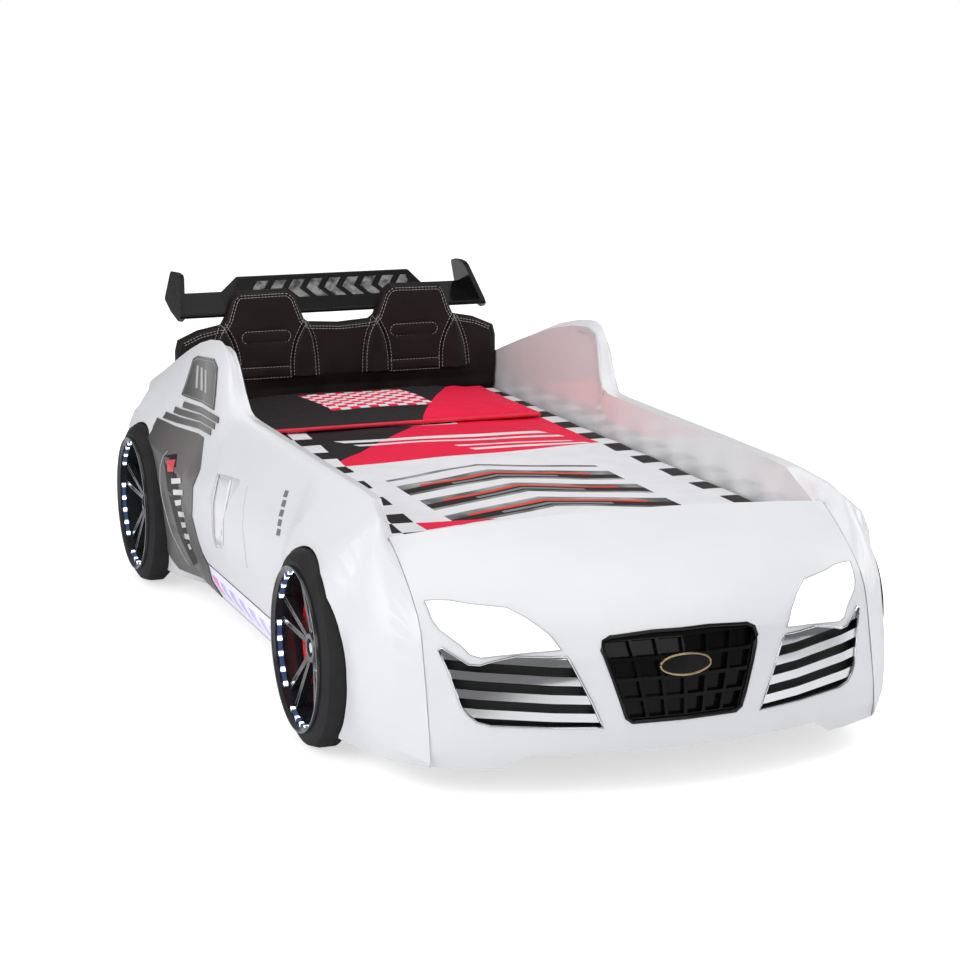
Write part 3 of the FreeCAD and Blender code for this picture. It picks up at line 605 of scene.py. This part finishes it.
dashes = []
for line in seams:
    dashes += stitch_line(line, 0.0052)
    dashes += stitch_line(line, -0.0052)
for line in low_seams + slot_lines:
    dashes += stitch_line(line)
inset_outline = []
for i in range(1, len(outline) - 1):
    a, b, c = outline[i - 1], outline[i], outline[i + 1]
    n1 = np.array([b[1] - a[1], a[0] - b[0]])
    n2 = np.array([c[1] - b[1], b[0] - c[0]])
    n1 /= np.hypot(*n1)
    n2 /= np.hypot(*n2)
    m = n1 + n2
    inset_outline.append(b + m / (m @ m) * 2 * 0.0165)
inset_outline = np.array(inset_outline)
dashes += stitch_line(inset_outline)
dashes += stitch_line(inset_outline, 0.0065)

thread_vertices, thread_faces = [], []
for (x0, z0), (x1, z1) in dashes:
    mid = []
    for t in (0.0, 0.5, 1.0):
        x = x0 + (x1 - x0) * t
        z = z0 + (z1 - z0) * t
        X, Z = np.array([x]), np.array([z])
        y = front_y + upholstery_face(X, Z)[0] + rim_roll(distance_to(outline, X, Z))[0]
        mid.append((x, y - 0.0002 - 0.0003 * (t == 0.5), z))
    v, f = tube(mid, 0.0007, 5)
    thread_faces += shifted(f, len(thread_vertices))
    thread_vertices += v
stitching = mesh_object("headboard_stitching", thread_vertices, thread_faces, thread, "bed")
stitching.parent = head
stitching.matrix_parent_inverse = Matrix.Identity(4)


# ---------------------------------------------------------------- printed cloth
def printed(name, kind):
    """Satin cloth with a printed pattern, laid out in the bed's own X and Y."""
    mat, tree, shader = material(name)
    where = coordinates(tree)
    X, Y, _ = xyz(tree)
    dark, red, pale = (0.026, 0.023, 0.024, 1), (0.86, 0.010, 0.060, 1), (0.78, 0.78, 0.80, 1)
    m, mix = partial(math_node, tree), partial(mix_colour, tree)

    def above(value, limit):
        return m("GREATER_THAN", value, limit)

    def both(a, b):
        return m("MULTIPLY", a, b)

    def between(value, low, high):
        return both(above(value, low), m("LESS_THAN", value, high))

    def checks(size_x, size_y, x0, y0, across=None):
        a = m("FLOORED_MODULO", m("DIVIDE", m("SUBTRACT", X if across is None else across, x0), size_x), 2.0)
        b = m("FLOORED_MODULO", m("DIVIDE", m("SUBTRACT", Y, y0), size_y), 2.0)
        return m("COMPARE", above(a, 1.0), above(b, 1.0), 0.1)

    def line_side(x0, y0, x1, y1):
        """Above 0 on the right-hand side of the line from the first point to the second."""
        dx, dy = x1 - x0, y1 - y0
        length = math.hypot(dx, dy)
        a = m("MULTIPLY", m("SUBTRACT", X, x0), dy / length)
        b = m("MULTIPLY", m("SUBTRACT", Y, y0), dx / length)
        return m("SUBTRACT", a, b)

    wobble = m("MULTIPLY", m("SUBTRACT", noise(tree, where, 6.0, 2.0), 0.5), 0.010)
    if kind == "cover":
        # dark upper field, crimson slanting field, pale lower field
        under = m("ADD", line_side(-0.34, 0.046, 0.40, 0.104), wobble)
        in_upper = m("LESS_THAN", under, 0.0)
        in_red = both(in_upper, above(m("ADD", line_side(-0.345, 0.036, 0.157, 0.646), wobble), 0.0))
        colour = mix(in_upper, pale, dark)
        colour = mix(in_red, colour, red)
        # slanting pale bars in the red field, in two short rows
        lane = m("ADD", m("MULTIPLY", X, 0.10), Y)
        bar = m("PINGPONG", m("ADD", lane, 0.004), 0.030)
        first = both(between(lane, 0.262, 0.345), between(m("ADD", X, m("MULTIPLY", Y, 0.5)), -0.04, 0.46))
        second = both(between(lane, 0.142, 0.205), between(m("ADD", X, m("MULTIPLY", Y, 0.5)), 0.14, 0.42))
        bars = both(m("MAXIMUM", first, second), above(bar, 0.014))
        colour = mix(bars, colour, pale)
        # a pale frame with two blocks at the upper edge
        framed = both(between(X, -0.085, 0.150), between(m("ADD", Y, m("MULTIPLY", X, 0.12)), 0.500, 0.565))
        colour = mix(framed, colour, pale)
        blocks = both(between(m("PINGPONG", m("ADD", X, 0.008), 0.040), 0.012, 0.050),
                      between(m("ADD", Y, m("MULTIPLY", X, 0.12)), 0.512, 0.553))
        colour = mix(both(framed, blocks), colour, dark)
        # large stacked chevrons in the pale field, grey with red and dark parts
        reach = m("ABSOLUTE", m("SUBTRACT", X, 0.01))
        vee = m("ADD", m("SUBTRACT", Y, 0.045), m("MULTIPLY", reach, 0.42))
        step = m("FLOORED_MODULO", m("ADD", vee, 0.60), 0.165)
        field = both(between(vee, -0.600, -0.085), m("LESS_THAN", reach, 0.262))
        vees = both(m("LESS_THAN", step, 0.105), field)
        grey_drift = ramp(tree, noise(tree, where, 9.0), [(0.35, (0.10, 0.105, 0.10)), (0.65, (0.36, 0.37, 0.36))])
        colour = mix(vees, colour, grey_drift)
        colour = mix(both(vees, between(step, 0.018, 0.060)), colour, (0.035, 0.022, 0.022, 1))
        for low, high, limit, paint in ((0.060, 0.078, 0.21, (0.75, 0.07, 0.045, 1)),
                                        (0.030, 0.046, 0.13, (0.22, 0.26, 0.25, 1))):
            colour = mix(both(vees, both(between(step, low, high), m("LESS_THAN", reach, limit))), colour, paint)
        # check border on both long sides
        right_border = above(X, 0.388)
        skewed = m("SUBTRACT", X, m("MULTIPLY", Y, 0.07))
        left_border = m("LESS_THAN", skewed, -0.290)
        colour = mix(right_border, colour, mix(checks(0.0625, 0.084, 0.388, -0.172), pale, dark))
        colour = mix(left_border, colour, mix(checks(0.050, 0.092, -0.290, 0.050, skewed), pale, dark))
        # thin crimson wedges near the foot
        left_wedge = both(above(line_side(-0.330, -0.600, -0.150, -0.635), 0.0),
                          both(m("LESS_THAN", line_side(-0.330, -0.678, -0.150, -0.635), 0.0), above(X, -0.330)))
        right_wedge = both(m("LESS_THAN", Y, -0.676), between(m("ADD", X, m("MULTIPLY", Y, -0.4)), 0.555, 0.66))
        colour = mix(m("MAXIMUM", left_wedge, both(right_wedge, m("LESS_THAN", X, 0.388))), colour, red)
    else:
        colour = mix(above(line_side(0.06, 0.50, 0.25, 0.86), 0.0), dark, red)
        skewed = m("ADD", X, m("MULTIPLY", m("SUBTRACT", Y, 0.6), 0.10))
        patch = both(between(skewed, -0.155, 0.128), between(Y, 0.592, 0.838))
        small = checks(0.0258, 0.0246, -0.155, 0.592)
        colour = mix(patch, colour, mix(small, pale, red))
    weave = noise(tree, where, 900.0, 1.0)
    tint = ramp(tree, noise(tree, where, 14.0), [(0.3, (0.93, 0.93, 0.93)), (0.7, (1, 1, 1))])
    tinted = node(tree, "ShaderNodeMix", data_type="RGBA", blend_type="MULTIPLY")
    feed(tree, tinted, {"Factor": 1.0, "A": colour, "B": tint})
    feed(tree, shader, {"Base Color": tinted.outputs["Result"], "Specular IOR Level": 0.18,
                        "Roughness": drifting(tree, noise(tree, where, 30.0), 0.55, 0.65)})
    bump(tree, shader, weave, 0.15, 0.0003)
    return mat


cover_cloth = printed("printed_cover", "cover")
pillow_cloth = printed("printed_pillow", "pillow")
piping_red = plain("piping_red", (0.72, 0.015, 0.04), (0.82, 0.02, 0.06), 0.6, scale=40, grain=0.3)
ticking = plain("ticking", (0.72, 0.72, 0.70), (0.8, 0.8, 0.78), 0.8, scale=60, grain=0.4, grain_scale=1200)


def rounded_block(lo, hi, low, radius, columns, rows, drop_rows, wave):
    """Top and sides of an upholstered block as one grid wrapped over it: a map from (u, v) to the surface."""
    half_x = (hi.x - lo.x) / 2
    half_y = (hi.y - lo.y) / 2
    centre = Vector(((hi.x + lo.x) / 2, (hi.y + lo.y) / 2))
    side = hi.z - low
    quarter = math.pi / 2 * radius

    def wrap(distance, half):
        """Position across and fall for a run measured from the middle."""
        sign = 1 if distance >= 0 else -1
        d = abs(distance)
        flat = half - radius
        if d <= flat:
            return sign * d, 0.0
        if d <= flat + quarter:
            angle = (d - flat) / radius
            return sign * (flat + radius * math.sin(angle)), radius * (1 - math.cos(angle))
        return sign * half, radius + d - flat - quarter

    runs = []
    for half, count in ((half_x, columns), (half_y, rows)):
        flat = half - radius
        out = flat + quarter + side - radius
        inner = list(np.linspace(-flat, flat, count))
        bend = list(np.linspace(flat, flat + quarter, 6))[1:]
        fall = list(np.linspace(flat + quarter, out, drop_rows))[1:]
        outer = bend + fall
        runs.append([-v for v in outer[::-1]] + inner + outer)
    vertices = []
    for v in runs[1]:
        py, fy = wrap(v, half_y)
        for u in runs[0]:
            px, fx = wrap(u, half_x)
            fall = max(fx, fy)
            both_fall = min(fx, fy)
            z = hi.z - fall
            x, y = centre.x + px, centre.y + py
            if fx > 0 and fy > 0:
                tuck = radius * 0.45 * min(1, both_fall / (radius * 2))
                x -= math.copysign(tuck, px)
                y -= math.copysign(tuck, py)
            z += wave(x, y) if fall < radius * 0.5 else 0.0
            vertices.append((x, y, max(z, low)))
    return vertices, len(runs[1]), len(runs[0])


def ripple(x, y):
    """Slack of the cloth over the mattress: small waves about the mattress cover's own height, lowered by 2 mm."""
    r = 0.0012 * math.sin(9 * x + 3.1 * y) * math.sin(5.3 * y - 2 * x)
    r += 0.0009 * math.sin(23 * x - 8 * y + 1.0) * math.sin(11 * y + 2)
    near = max(0.0, 1 - abs(y - 0.02) / 0.5)
    r += 0.0016 * near * math.sin(34 * (y + 0.30 * x) + 0.8 * math.sin(6 * x))
    return r - 0.002


mattress_v, mattress_r, mattress_c = rounded_block(mattress_lo, mattress_hi, mattress_lo.z, 0.022, 24, 40, 5,
                                                   lambda x, y: -0.006)
mattress_bottom = tuple(grid_rim(mattress_r, mattress_c)[::-1])
mattress_obj = mesh_object("mattress_block", mattress_v, grid_faces(mattress_r, mattress_c) + [mattress_bottom],
                           ticking, "bedding")
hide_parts("mattress")

cover_v, cover_r, cover_c = rounded_block(cover_lo, cover_hi, cover_lo.z, 0.024, 110, 220, 8, ripple)
cover_obj = mesh_object("cover_cloth", cover_v, grid_faces(cover_r, cover_c), cover_cloth, "bedding")
cloth = cover_obj.modifiers.new("cloth", "SOLIDIFY")
cloth.thickness = 0.0016
cloth.offset = -1
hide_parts("cover")


# pillow: a thin stuffed case with piping round its seam
def pillow_shape():
    nx, ny = 90, 60
    cx = (pillow_lo.x + pillow_hi.x) / 2
    cy = (pillow_lo.y + pillow_hi.y) / 2
    hx = (pillow_hi.x - pillow_lo.x) / 2 - 0.004
    hy = (pillow_hi.y - pillow_lo.y) / 2 - 0.004
    height = pillow_hi.z - pillow_lo.z
    seam_z = pillow_lo.z + 0.0065
    upper, lower = [], []
    for j in range(ny):
        v = -1 + 2 * j / (ny - 1)
        for i in range(nx):
            u = -1 + 2 * i / (nx - 1)
            draw_x = 1 - 0.022 * (1 - v * v) * abs(u) ** 4
            draw_y = 1 - 0.030 * (1 - u * u) * abs(v) ** 4
            x = cx + hx * u * draw_y * (1 - 0.012 * (1 - v * v))
            y = cy + hy * v * draw_x * (1 - 0.012 * (1 - u * u))
            crown = (max(0, 1 - abs(u) ** 2.6) * max(0, 1 - abs(v) ** 2.6)) ** 0.42
            pucker = 0.0018 * (1 - crown) * math.sin(38 * u + 5 * v) + 0.0016 * (1 - crown) * math.sin(30 * v - 4 * u)
            slack = 0.0014 * math.sin(7 * u + 2 * v) * math.sin(5 * v + 1)
            top = seam_z + (height - 0.009) * crown + (pucker + slack) * min(1, 4 * crown)
            upper.append((x, y, top))
            lower.append((x, y, max(pillow_lo.z, seam_z - 0.0065 * min(1, 3 * crown))))
    count = nx * ny
    faces = grid_faces(ny, nx)
    faces += shifted(faces, count, -1)
    rim = grid_rim(ny, nx)
    for a, b in zip(rim, rim[1:] + rim[:1]):
        faces.append((b, a, a + count, b + count))
    return upper + lower, faces, [upper[i] for i in rim]


pillow_v, pillow_f, rim_points = pillow_shape()
pillow_obj = mesh_object("pillow_case", pillow_v, pillow_f, pillow_cloth, "pillow")
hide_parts("pillow")
piping_v, piping_f = tube(rim_points, 0.0055, 8, closed=True)
lowest = min(v.z for v in piping_v)
piping_v = [v + Vector((0, 0, max(0.0, pillow_lo.z - lowest))) for v in piping_v]
piping = mesh_object("pillow_piping", piping_v, piping_f, piping_red, "pillow")
piping.parent = pillow_obj
piping.matrix_parent_inverse = Matrix.Identity(4)


# ---------------------------------------------------------------- fine parts laid on the body's surfaces
def surface(*names):
    """The named pieces' faces together, to be met by a straight line."""
    vertices, faces = [], []
    for name in names:
        mesh = nodes[name].data
        base = len(vertices)
        vertices += [v.co.copy() for v in mesh.vertices]
        faces += [[base + i for i in poly.vertices] for poly in mesh.polygons]
    return BVHTree.FromPolygons(vertices, faces)


def placer(tree, kind, side=1):
    """Function from two coordinates and a lift to a point on the surface; a joint between pieces is passed over."""
    def meet(start, way, shifts, lift):
        for shift in shifts:
            hit, normal = tree.ray_cast(start + shift, way)[:2]
            if hit is not None:
                if normal.dot(way) > 0:
                    normal = -normal
                return hit - shift + normal * lift
        raise ValueError("no surface at %s" % (start,))

    near = [(0, 0), (0.002, 0), (-0.002, 0), (0, 0.002), (0, -0.002), (0.006, 0.006), (-0.006, -0.006),
            (0.006, -0.006), (-0.006, 0.006)]

    def side_point(y, z, lift):
        return meet(Vector((side * 2.0, y, z)), Vector((-side, 0, 0)), [Vector((0, a, b)) for a, b in near], lift)

    def front_point(x, z, lift):
        return meet(Vector((side * x, -3.0, z)), Vector((0, 1, 0)), [Vector((a, 0, b)) for a, b in near], lift)
    return side_point if kind == "side" else front_point


def densely(points, step=0.012, closed=False):
    pts = list(points) + ([points[0]] if closed else [])
    result = []
    for (a0, b0), (a1, b1) in zip(pts[:-1], pts[1:]):
        count = max(1, int(math.hypot(a1 - a0, b1 - b0) / step))
        result += [(a0 + (a1 - a0) * i / count, b0 + (b1 - b0) * i / count) for i in range(count)]
    if not closed:
        result.append(pts[-1])
    return result


def surface_line(name, points, place, radius, mat, lift=0.0, closed=False):
    run = [place(a, b, lift) for a, b in densely(points, closed=closed)]
    v, f = tube(run, radius, 6, closed)
    return mesh_object(name, v, f, mat, "bed")


def surface_patches(name, quads, place, mat, lift=0.0006, cells=8, thick=0.0):
    vertices, faces = [], []
    for quad in quads:
        base = len(vertices)
        (a0, b0), (a1, b1), (a2, b2), (a3, b3) = quad
        for j in range(cells + 1):
            v = j / cells
            for i in range(cells + 1):
                u = i / cells
                a = (a0 * (1 - u) + a1 * u) * (1 - v) + (a3 * (1 - u) + a2 * u) * v
                b = (b0 * (1 - u) + b1 * u) * (1 - v) + (b3 * (1 - u) + b2 * u) * v
                vertices.append(place(a, b, lift))
        faces += grid_faces(cells + 1, cells + 1, base)
    obj = mesh_object(name, vertices, faces, mat, "bed")
    if thick:
        slab = obj.modifiers.new("slab", "SOLIDIFY")
        slab.thickness = thick
        slab.offset = 0
    return obj


lamp_ring = [(242, 295), (261, 324), (291, 349), (322, 366), (387, 372), (421, 377), (467, 376), (462, 344),
             (452, 327), (420, 301), (406, 284), (388, 279), (359, 283), (300, 290)]
louvre_ring = [(459, 290), (452, 295), (425, 276), (410, 266), (391, 265), (366, 273), (325, 283), (233, 282),
               (225, 268), (191, 195), (168, 140), (378, 148), (402, 155), (417, 168), (428, 185), (446, 253)]
grille_ring = [(-146, 315), (-60, 320), (60, 320), (146, 315), (161, 308), (165, 292), (123, 158), (110, 148),
               (-110, 148), (-123, 158), (-165, 292), (-161, 308)]


def metres(points):
    return [(a / 1000.0, b / 1000.0) for a, b in points]


shell_tree = surface("front_shell")


def on_edge(side):
    """Point of the front shell beside a place on an opening's outline, found a little outside the opening."""
    def place(x, z, lift):
        best = None
        for cos, sin in circle(16):
            start = Vector((side * x + 0.004 * cos, -3.0, z + 0.004 * sin))
            hit = shell_tree.ray_cast(start, Vector((0, 1, 0)))[0]
            if hit is not None and (best is None or hit.y < best):
                best = hit.y
        return Vector((side * x, best - lift, z))
    return place


both_sides = (("left", -1), ("right", 1))
for tag, side in both_sides:
    panel_tree = surface("side_panel_" + tag, "door_handle_" + tag, "sill_light_" + tag)
    trim_tree = surface("pillar_cap_" + tag, "pillar_blade_" + tag, "side_panel_" + tag)
    on_panel = placer(panel_tree, "side", side)
    on_trim = placer(trim_tree, "side", side)
    surface_line("door_joint_" + tag, [(-0.029, 0.411), (-0.048, 0.373), (-0.089, 0.323), (-0.128, 0.266),
                                       (-0.141, 0.245)], on_panel, 0.0010, line_grey)
    surface_line("sill_joint_" + tag, [(0.425, 0.1575), (0.38, 0.1585), (-0.44, 0.1585), (-0.485, 0.149)], on_panel,
                 0.0016, line_dark)
    surface_patches("door_bar_" + tag, [[(0.212, 0.386), (0.112, 0.399), (0.074, 0.252), (0.162, 0.236)]], on_panel,
                    bar_painted_highlight_white, 0.0022, 8, 0.003)
    # painted shadow: a dark line along the rear edge of the handle bar, where the bar shades the recess
    surface_line("door_bar_shadow_line_" + tag, [(0.222, 0.392), (0.218, 0.372), (0.170, 0.236)], on_panel, 0.0014, line_dark,
                 0.001)
    # painted shade: a grey line along the crease beside the door handle
    surface_line("handle_fold_shade_" + tag, [(0.048, 0.405), (0.085, 0.322), (0.090, 0.252)], on_panel, 0.0008, line_grey)
    bars = []
    for k in range(5):
        y = -0.290 - 0.0105 * k
        z = 0.452 - 0.019 * k
        bars.append([(y, z), (y - 0.026, z + 0.003), (y - 0.029, z - 0.011), (y - 0.003, z - 0.014)])
    surface_patches("fender_bars_" + tag, bars, on_panel, mark_grey, 0.0005, 4)
    cap_line = [(0.640, 0.524), (0.619, 0.608), (0.580, 0.621), (0.420, 0.636), (0.388, 0.623), (0.389, 0.529)]
    surface_line("cap_outline_" + tag, cap_line, on_trim, 0.0006, mark_silver, 0.0002, True)
    bars = []
    for k in range(3):
        y = 0.573 - 0.038 * k
        bars.append([(y, 0.606), (y - 0.018, 0.607), (y - 0.034, 0.552), (y - 0.016, 0.551)])
    surface_patches("cap_bars_" + tag, bars, on_trim, mark_silver, 0.0006, 4)
    surface_patches("blade_field_" + tag, [[(0.610, 0.372), (0.560, 0.385), (0.425, 0.130), (0.505, 0.105)]], on_trim,
                    mark_black, 0.0006, 10)
    bars = []
    for k in range(7):
        z = 0.322 - 0.026 * k
        y = 0.560 - 0.0125 * k
        w = (0.050, 0.062, 0.040, 0.058, 0.046, 0.060, 0.038)[k]
        bars.append([(y, z), (y - w, z + 0.010), (y - w - 0.004, z - 0.003), (y - 0.004, z - 0.013)])
    surface_patches("blade_bars_" + tag, bars, on_trim, mark_white, 0.0012, 5)
    surface_patches("blade_mark_" + tag, [[(0.588, 0.364), (0.556, 0.371), (0.549, 0.342), (0.581, 0.336)]], on_trim,
                    mark_red, 0.0012, 4)
    surface_line("blade_arc_" + tag, [(0.602, 0.385), (0.625, 0.340), (0.622, 0.270), (0.585, 0.175), (0.530, 0.100)],
                 on_trim, 0.0013, mark_silver, 0.0006)
    surface_line("lamp_edge_" + tag, metres(lamp_ring), on_edge(side), 0.0013, line_grey, 0.0, True)
    surface_line("louvre_frame_" + tag, metres(louvre_ring), on_edge(side), 0.0024, chrome, -0.0006, True)

surface_line("grille_frame", metres(grille_ring), on_edge(1), 0.0045, black_gloss, -0.001, True)
ring = [(0.002 + 0.0535 * cos, 0.255 + 0.0205 * sin) for cos, sin in circle(40)]
surface_line("badge_rim", ring, placer(surface("grille_badge"), "front"), 0.0026, bronze, 0.0, True)

# bright edges of the wheels: lip, spoke edges and hub
lip_radius = 0.1722
spoke_half = 0.0053
for end in ("front", "rear"):
    for tag, side in both_sides:
        lo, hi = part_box("wheel_cover_" + end + "_" + tag)
        wy, wz = (lo.y + hi.y) / 2, (lo.z + hi.z) / 2
        face = side * max(abs(lo.x), abs(hi.x))
        lip = [(face, wy + lip_radius * cos, wz + lip_radius * sin) for cos, sin in circle(64)]
        edges_v, edges_f = tube(lip, 0.0012, 6, True)
        for i in range(5):
            for lean in (-1, 1):
                angle = math.radians(90 + 72 * i + lean * 9)
                out = Vector((0, math.cos(angle), math.sin(angle)))
                across = Vector((0, -math.sin(angle), math.cos(angle)))
                for aside in (-spoke_half, spoke_half):
                    a = Vector((side * 0.6012, wy, wz)) + out * 0.040 + across * aside
                    b = Vector((side * 0.6162, wy, wz)) + out * 0.161 + across * aside
                    v, f = tube([a, (a + b) / 2, b], 0.0008, 5)
                    edges_f += shifted(f, len(edges_v))
                    edges_v += v
        mesh_object("wheel_edges_" + end + "_" + tag, edges_v, edges_f, spoke_edge, "bed")
        cap_v, cap_f = tube([(side * 0.5965, wy, wz), (side * 0.6005, wy, wz), (side * 0.6025, wy, wz)], 0.011, 20)
        mesh_object("hub_cap_" + end + "_" + tag, cap_v, cap_f, chrome, "bed", False)

# ---------------------------------------------------------------- camera
cam_data = bpy.data.cameras.new("camera")
cam = bpy.data.objects.new("camera", cam_data)
scene.collection.objects.link(cam)
azimuth, elevation, roll = math.radians(-19.942), math.radians(11.486), math.radians(-0.250)
forward = Vector((-math.sin(azimuth) * math.cos(elevation), math.cos(azimuth) * math.cos(elevation),
                  -math.sin(elevation)))
right = Vector((math.cos(azimuth), math.sin(azimuth), 0))
upward = right.cross(forward)
turned_right = right * math.cos(roll) + upward * math.sin(roll)
turned_up = upward * math.cos(roll) - right * math.sin(roll)
matrix = Matrix((turned_right, turned_up, -forward)).transposed().to_4x4()
matrix.translation = Vector((-2.0007, -5.6105, 1.5911))
cam.matrix_world = matrix
cam_data.lens = 94.963
cam_data.sensor_width = 36.0
cam_data.clip_start = 0.1
cam_data.clip_end = 100
scene.camera = cam

# ---------------------------------------------------------------- floor and light
floor_size = 14.0
floor_v = [(-floor_size, -floor_size, 0), (floor_size, -floor_size, 0), (floor_size, floor_size, 0),
           (-floor_size, floor_size, 0)]
floor_mesh = bpy.data.meshes.new("floor")
floor_mesh.from_pydata(floor_v, [], [(0, 1, 2, 3)])
floor = bpy.data.objects.new("floor", floor_mesh)
scene.collection.objects.link(floor)
floor_mat, floor_tree, floor_shader = material("floor_pale")
floor_where = coordinates(floor_tree)
floor_tones = [(0.3, (0.86, 0.86, 0.87)), (0.7, (0.89, 0.89, 0.90))]
seen = node(floor_tree, "ShaderNodeLightPath").outputs["Is Camera Ray"]
feed(floor_tree, floor_shader, {
    "Base Color": ramp(floor_tree, noise(floor_tree, floor_where, 1.5), floor_tones),
    "Roughness": drifting(floor_tree, noise(floor_tree, floor_where, 8), 0.75, 0.85),
    "Emission Color": (1, 1, 1, 1), "Emission Strength": value_ramp(floor_tree, seen, 0, 1, 0.0, 0.62)})
floor.data.materials.append(floor_mat)

world = bpy.data.worlds.new("studio")
scene.world = world
world.use_nodes = True
sky_tree = world.node_tree
sky_tree.nodes.clear()
sky_out = node(sky_tree, "ShaderNodeOutputWorld")
rays = node(sky_tree, "ShaderNodeLightPath")
height = xyz(sky_tree, "Generated")["Z"]
sky_colour = ramp(sky_tree, height, [(0.0, (0.62, 0.62, 0.65)), (0.75, (0.98, 0.98, 1.0))])


def background(strength, colour):
    """Sky of a strength, with a plain colour or a colour that a node gives."""
    made = node(sky_tree, "ShaderNodeBackground")
    feed(sky_tree, made, {"Strength": strength, "Color": colour})
    return made.outputs[0]


def mixed_sky(ray, a, b):
    """The first sky, and the second one for the named kind of ray."""
    made = node(sky_tree, "ShaderNodeMixShader")
    feed(sky_tree, made, {0: rays.outputs[ray], 1: a, 2: b})
    return made.outputs[0]


lit_sky = mixed_sky("Is Glossy Ray", background(0.70, sky_colour), background(0.24, sky_colour))
link(sky_tree, mixed_sky("Is Camera Ray", lit_sky, background(1.0, (1, 1, 1, 1))), sky_out.inputs[0])


def area(name, place, target, size, power, colour=(1, 1, 1)):
    data = bpy.data.lights.new(name, "AREA")
    data.shape = "RECTANGLE"
    data.size, data.size_y = size
    data.energy = power
    data.color = colour
    obj = bpy.data.objects.new(name, data)
    scene.collection.objects.link(obj)
    obj.location = place
    obj.rotation_mode = "QUATERNION"
    obj.rotation_quaternion = (Vector(place) - Vector(target)).to_track_quat("Z", "Y")
    return obj


area("overhead", (0.3, -0.2, 4.2), (0, 0, 0.3), (3.6, 4.2), 50)
area("from_left", (-4.6, -1.5, 2.2), (0, 0, 0.4), (2.6, 3.0), 82, (0.995, 0.995, 1.0))
area("from_front", (0.6, -5.6, 2.4), (0, -0.6, 0.3), (3.4, 1.6), 37)
area("from_right", (4.6, 0.5, 2.0), (0, 0, 0.4), (2.4, 3.0), 56, (1.0, 0.995, 0.99))

scene.view_settings.view_transform = "Standard"
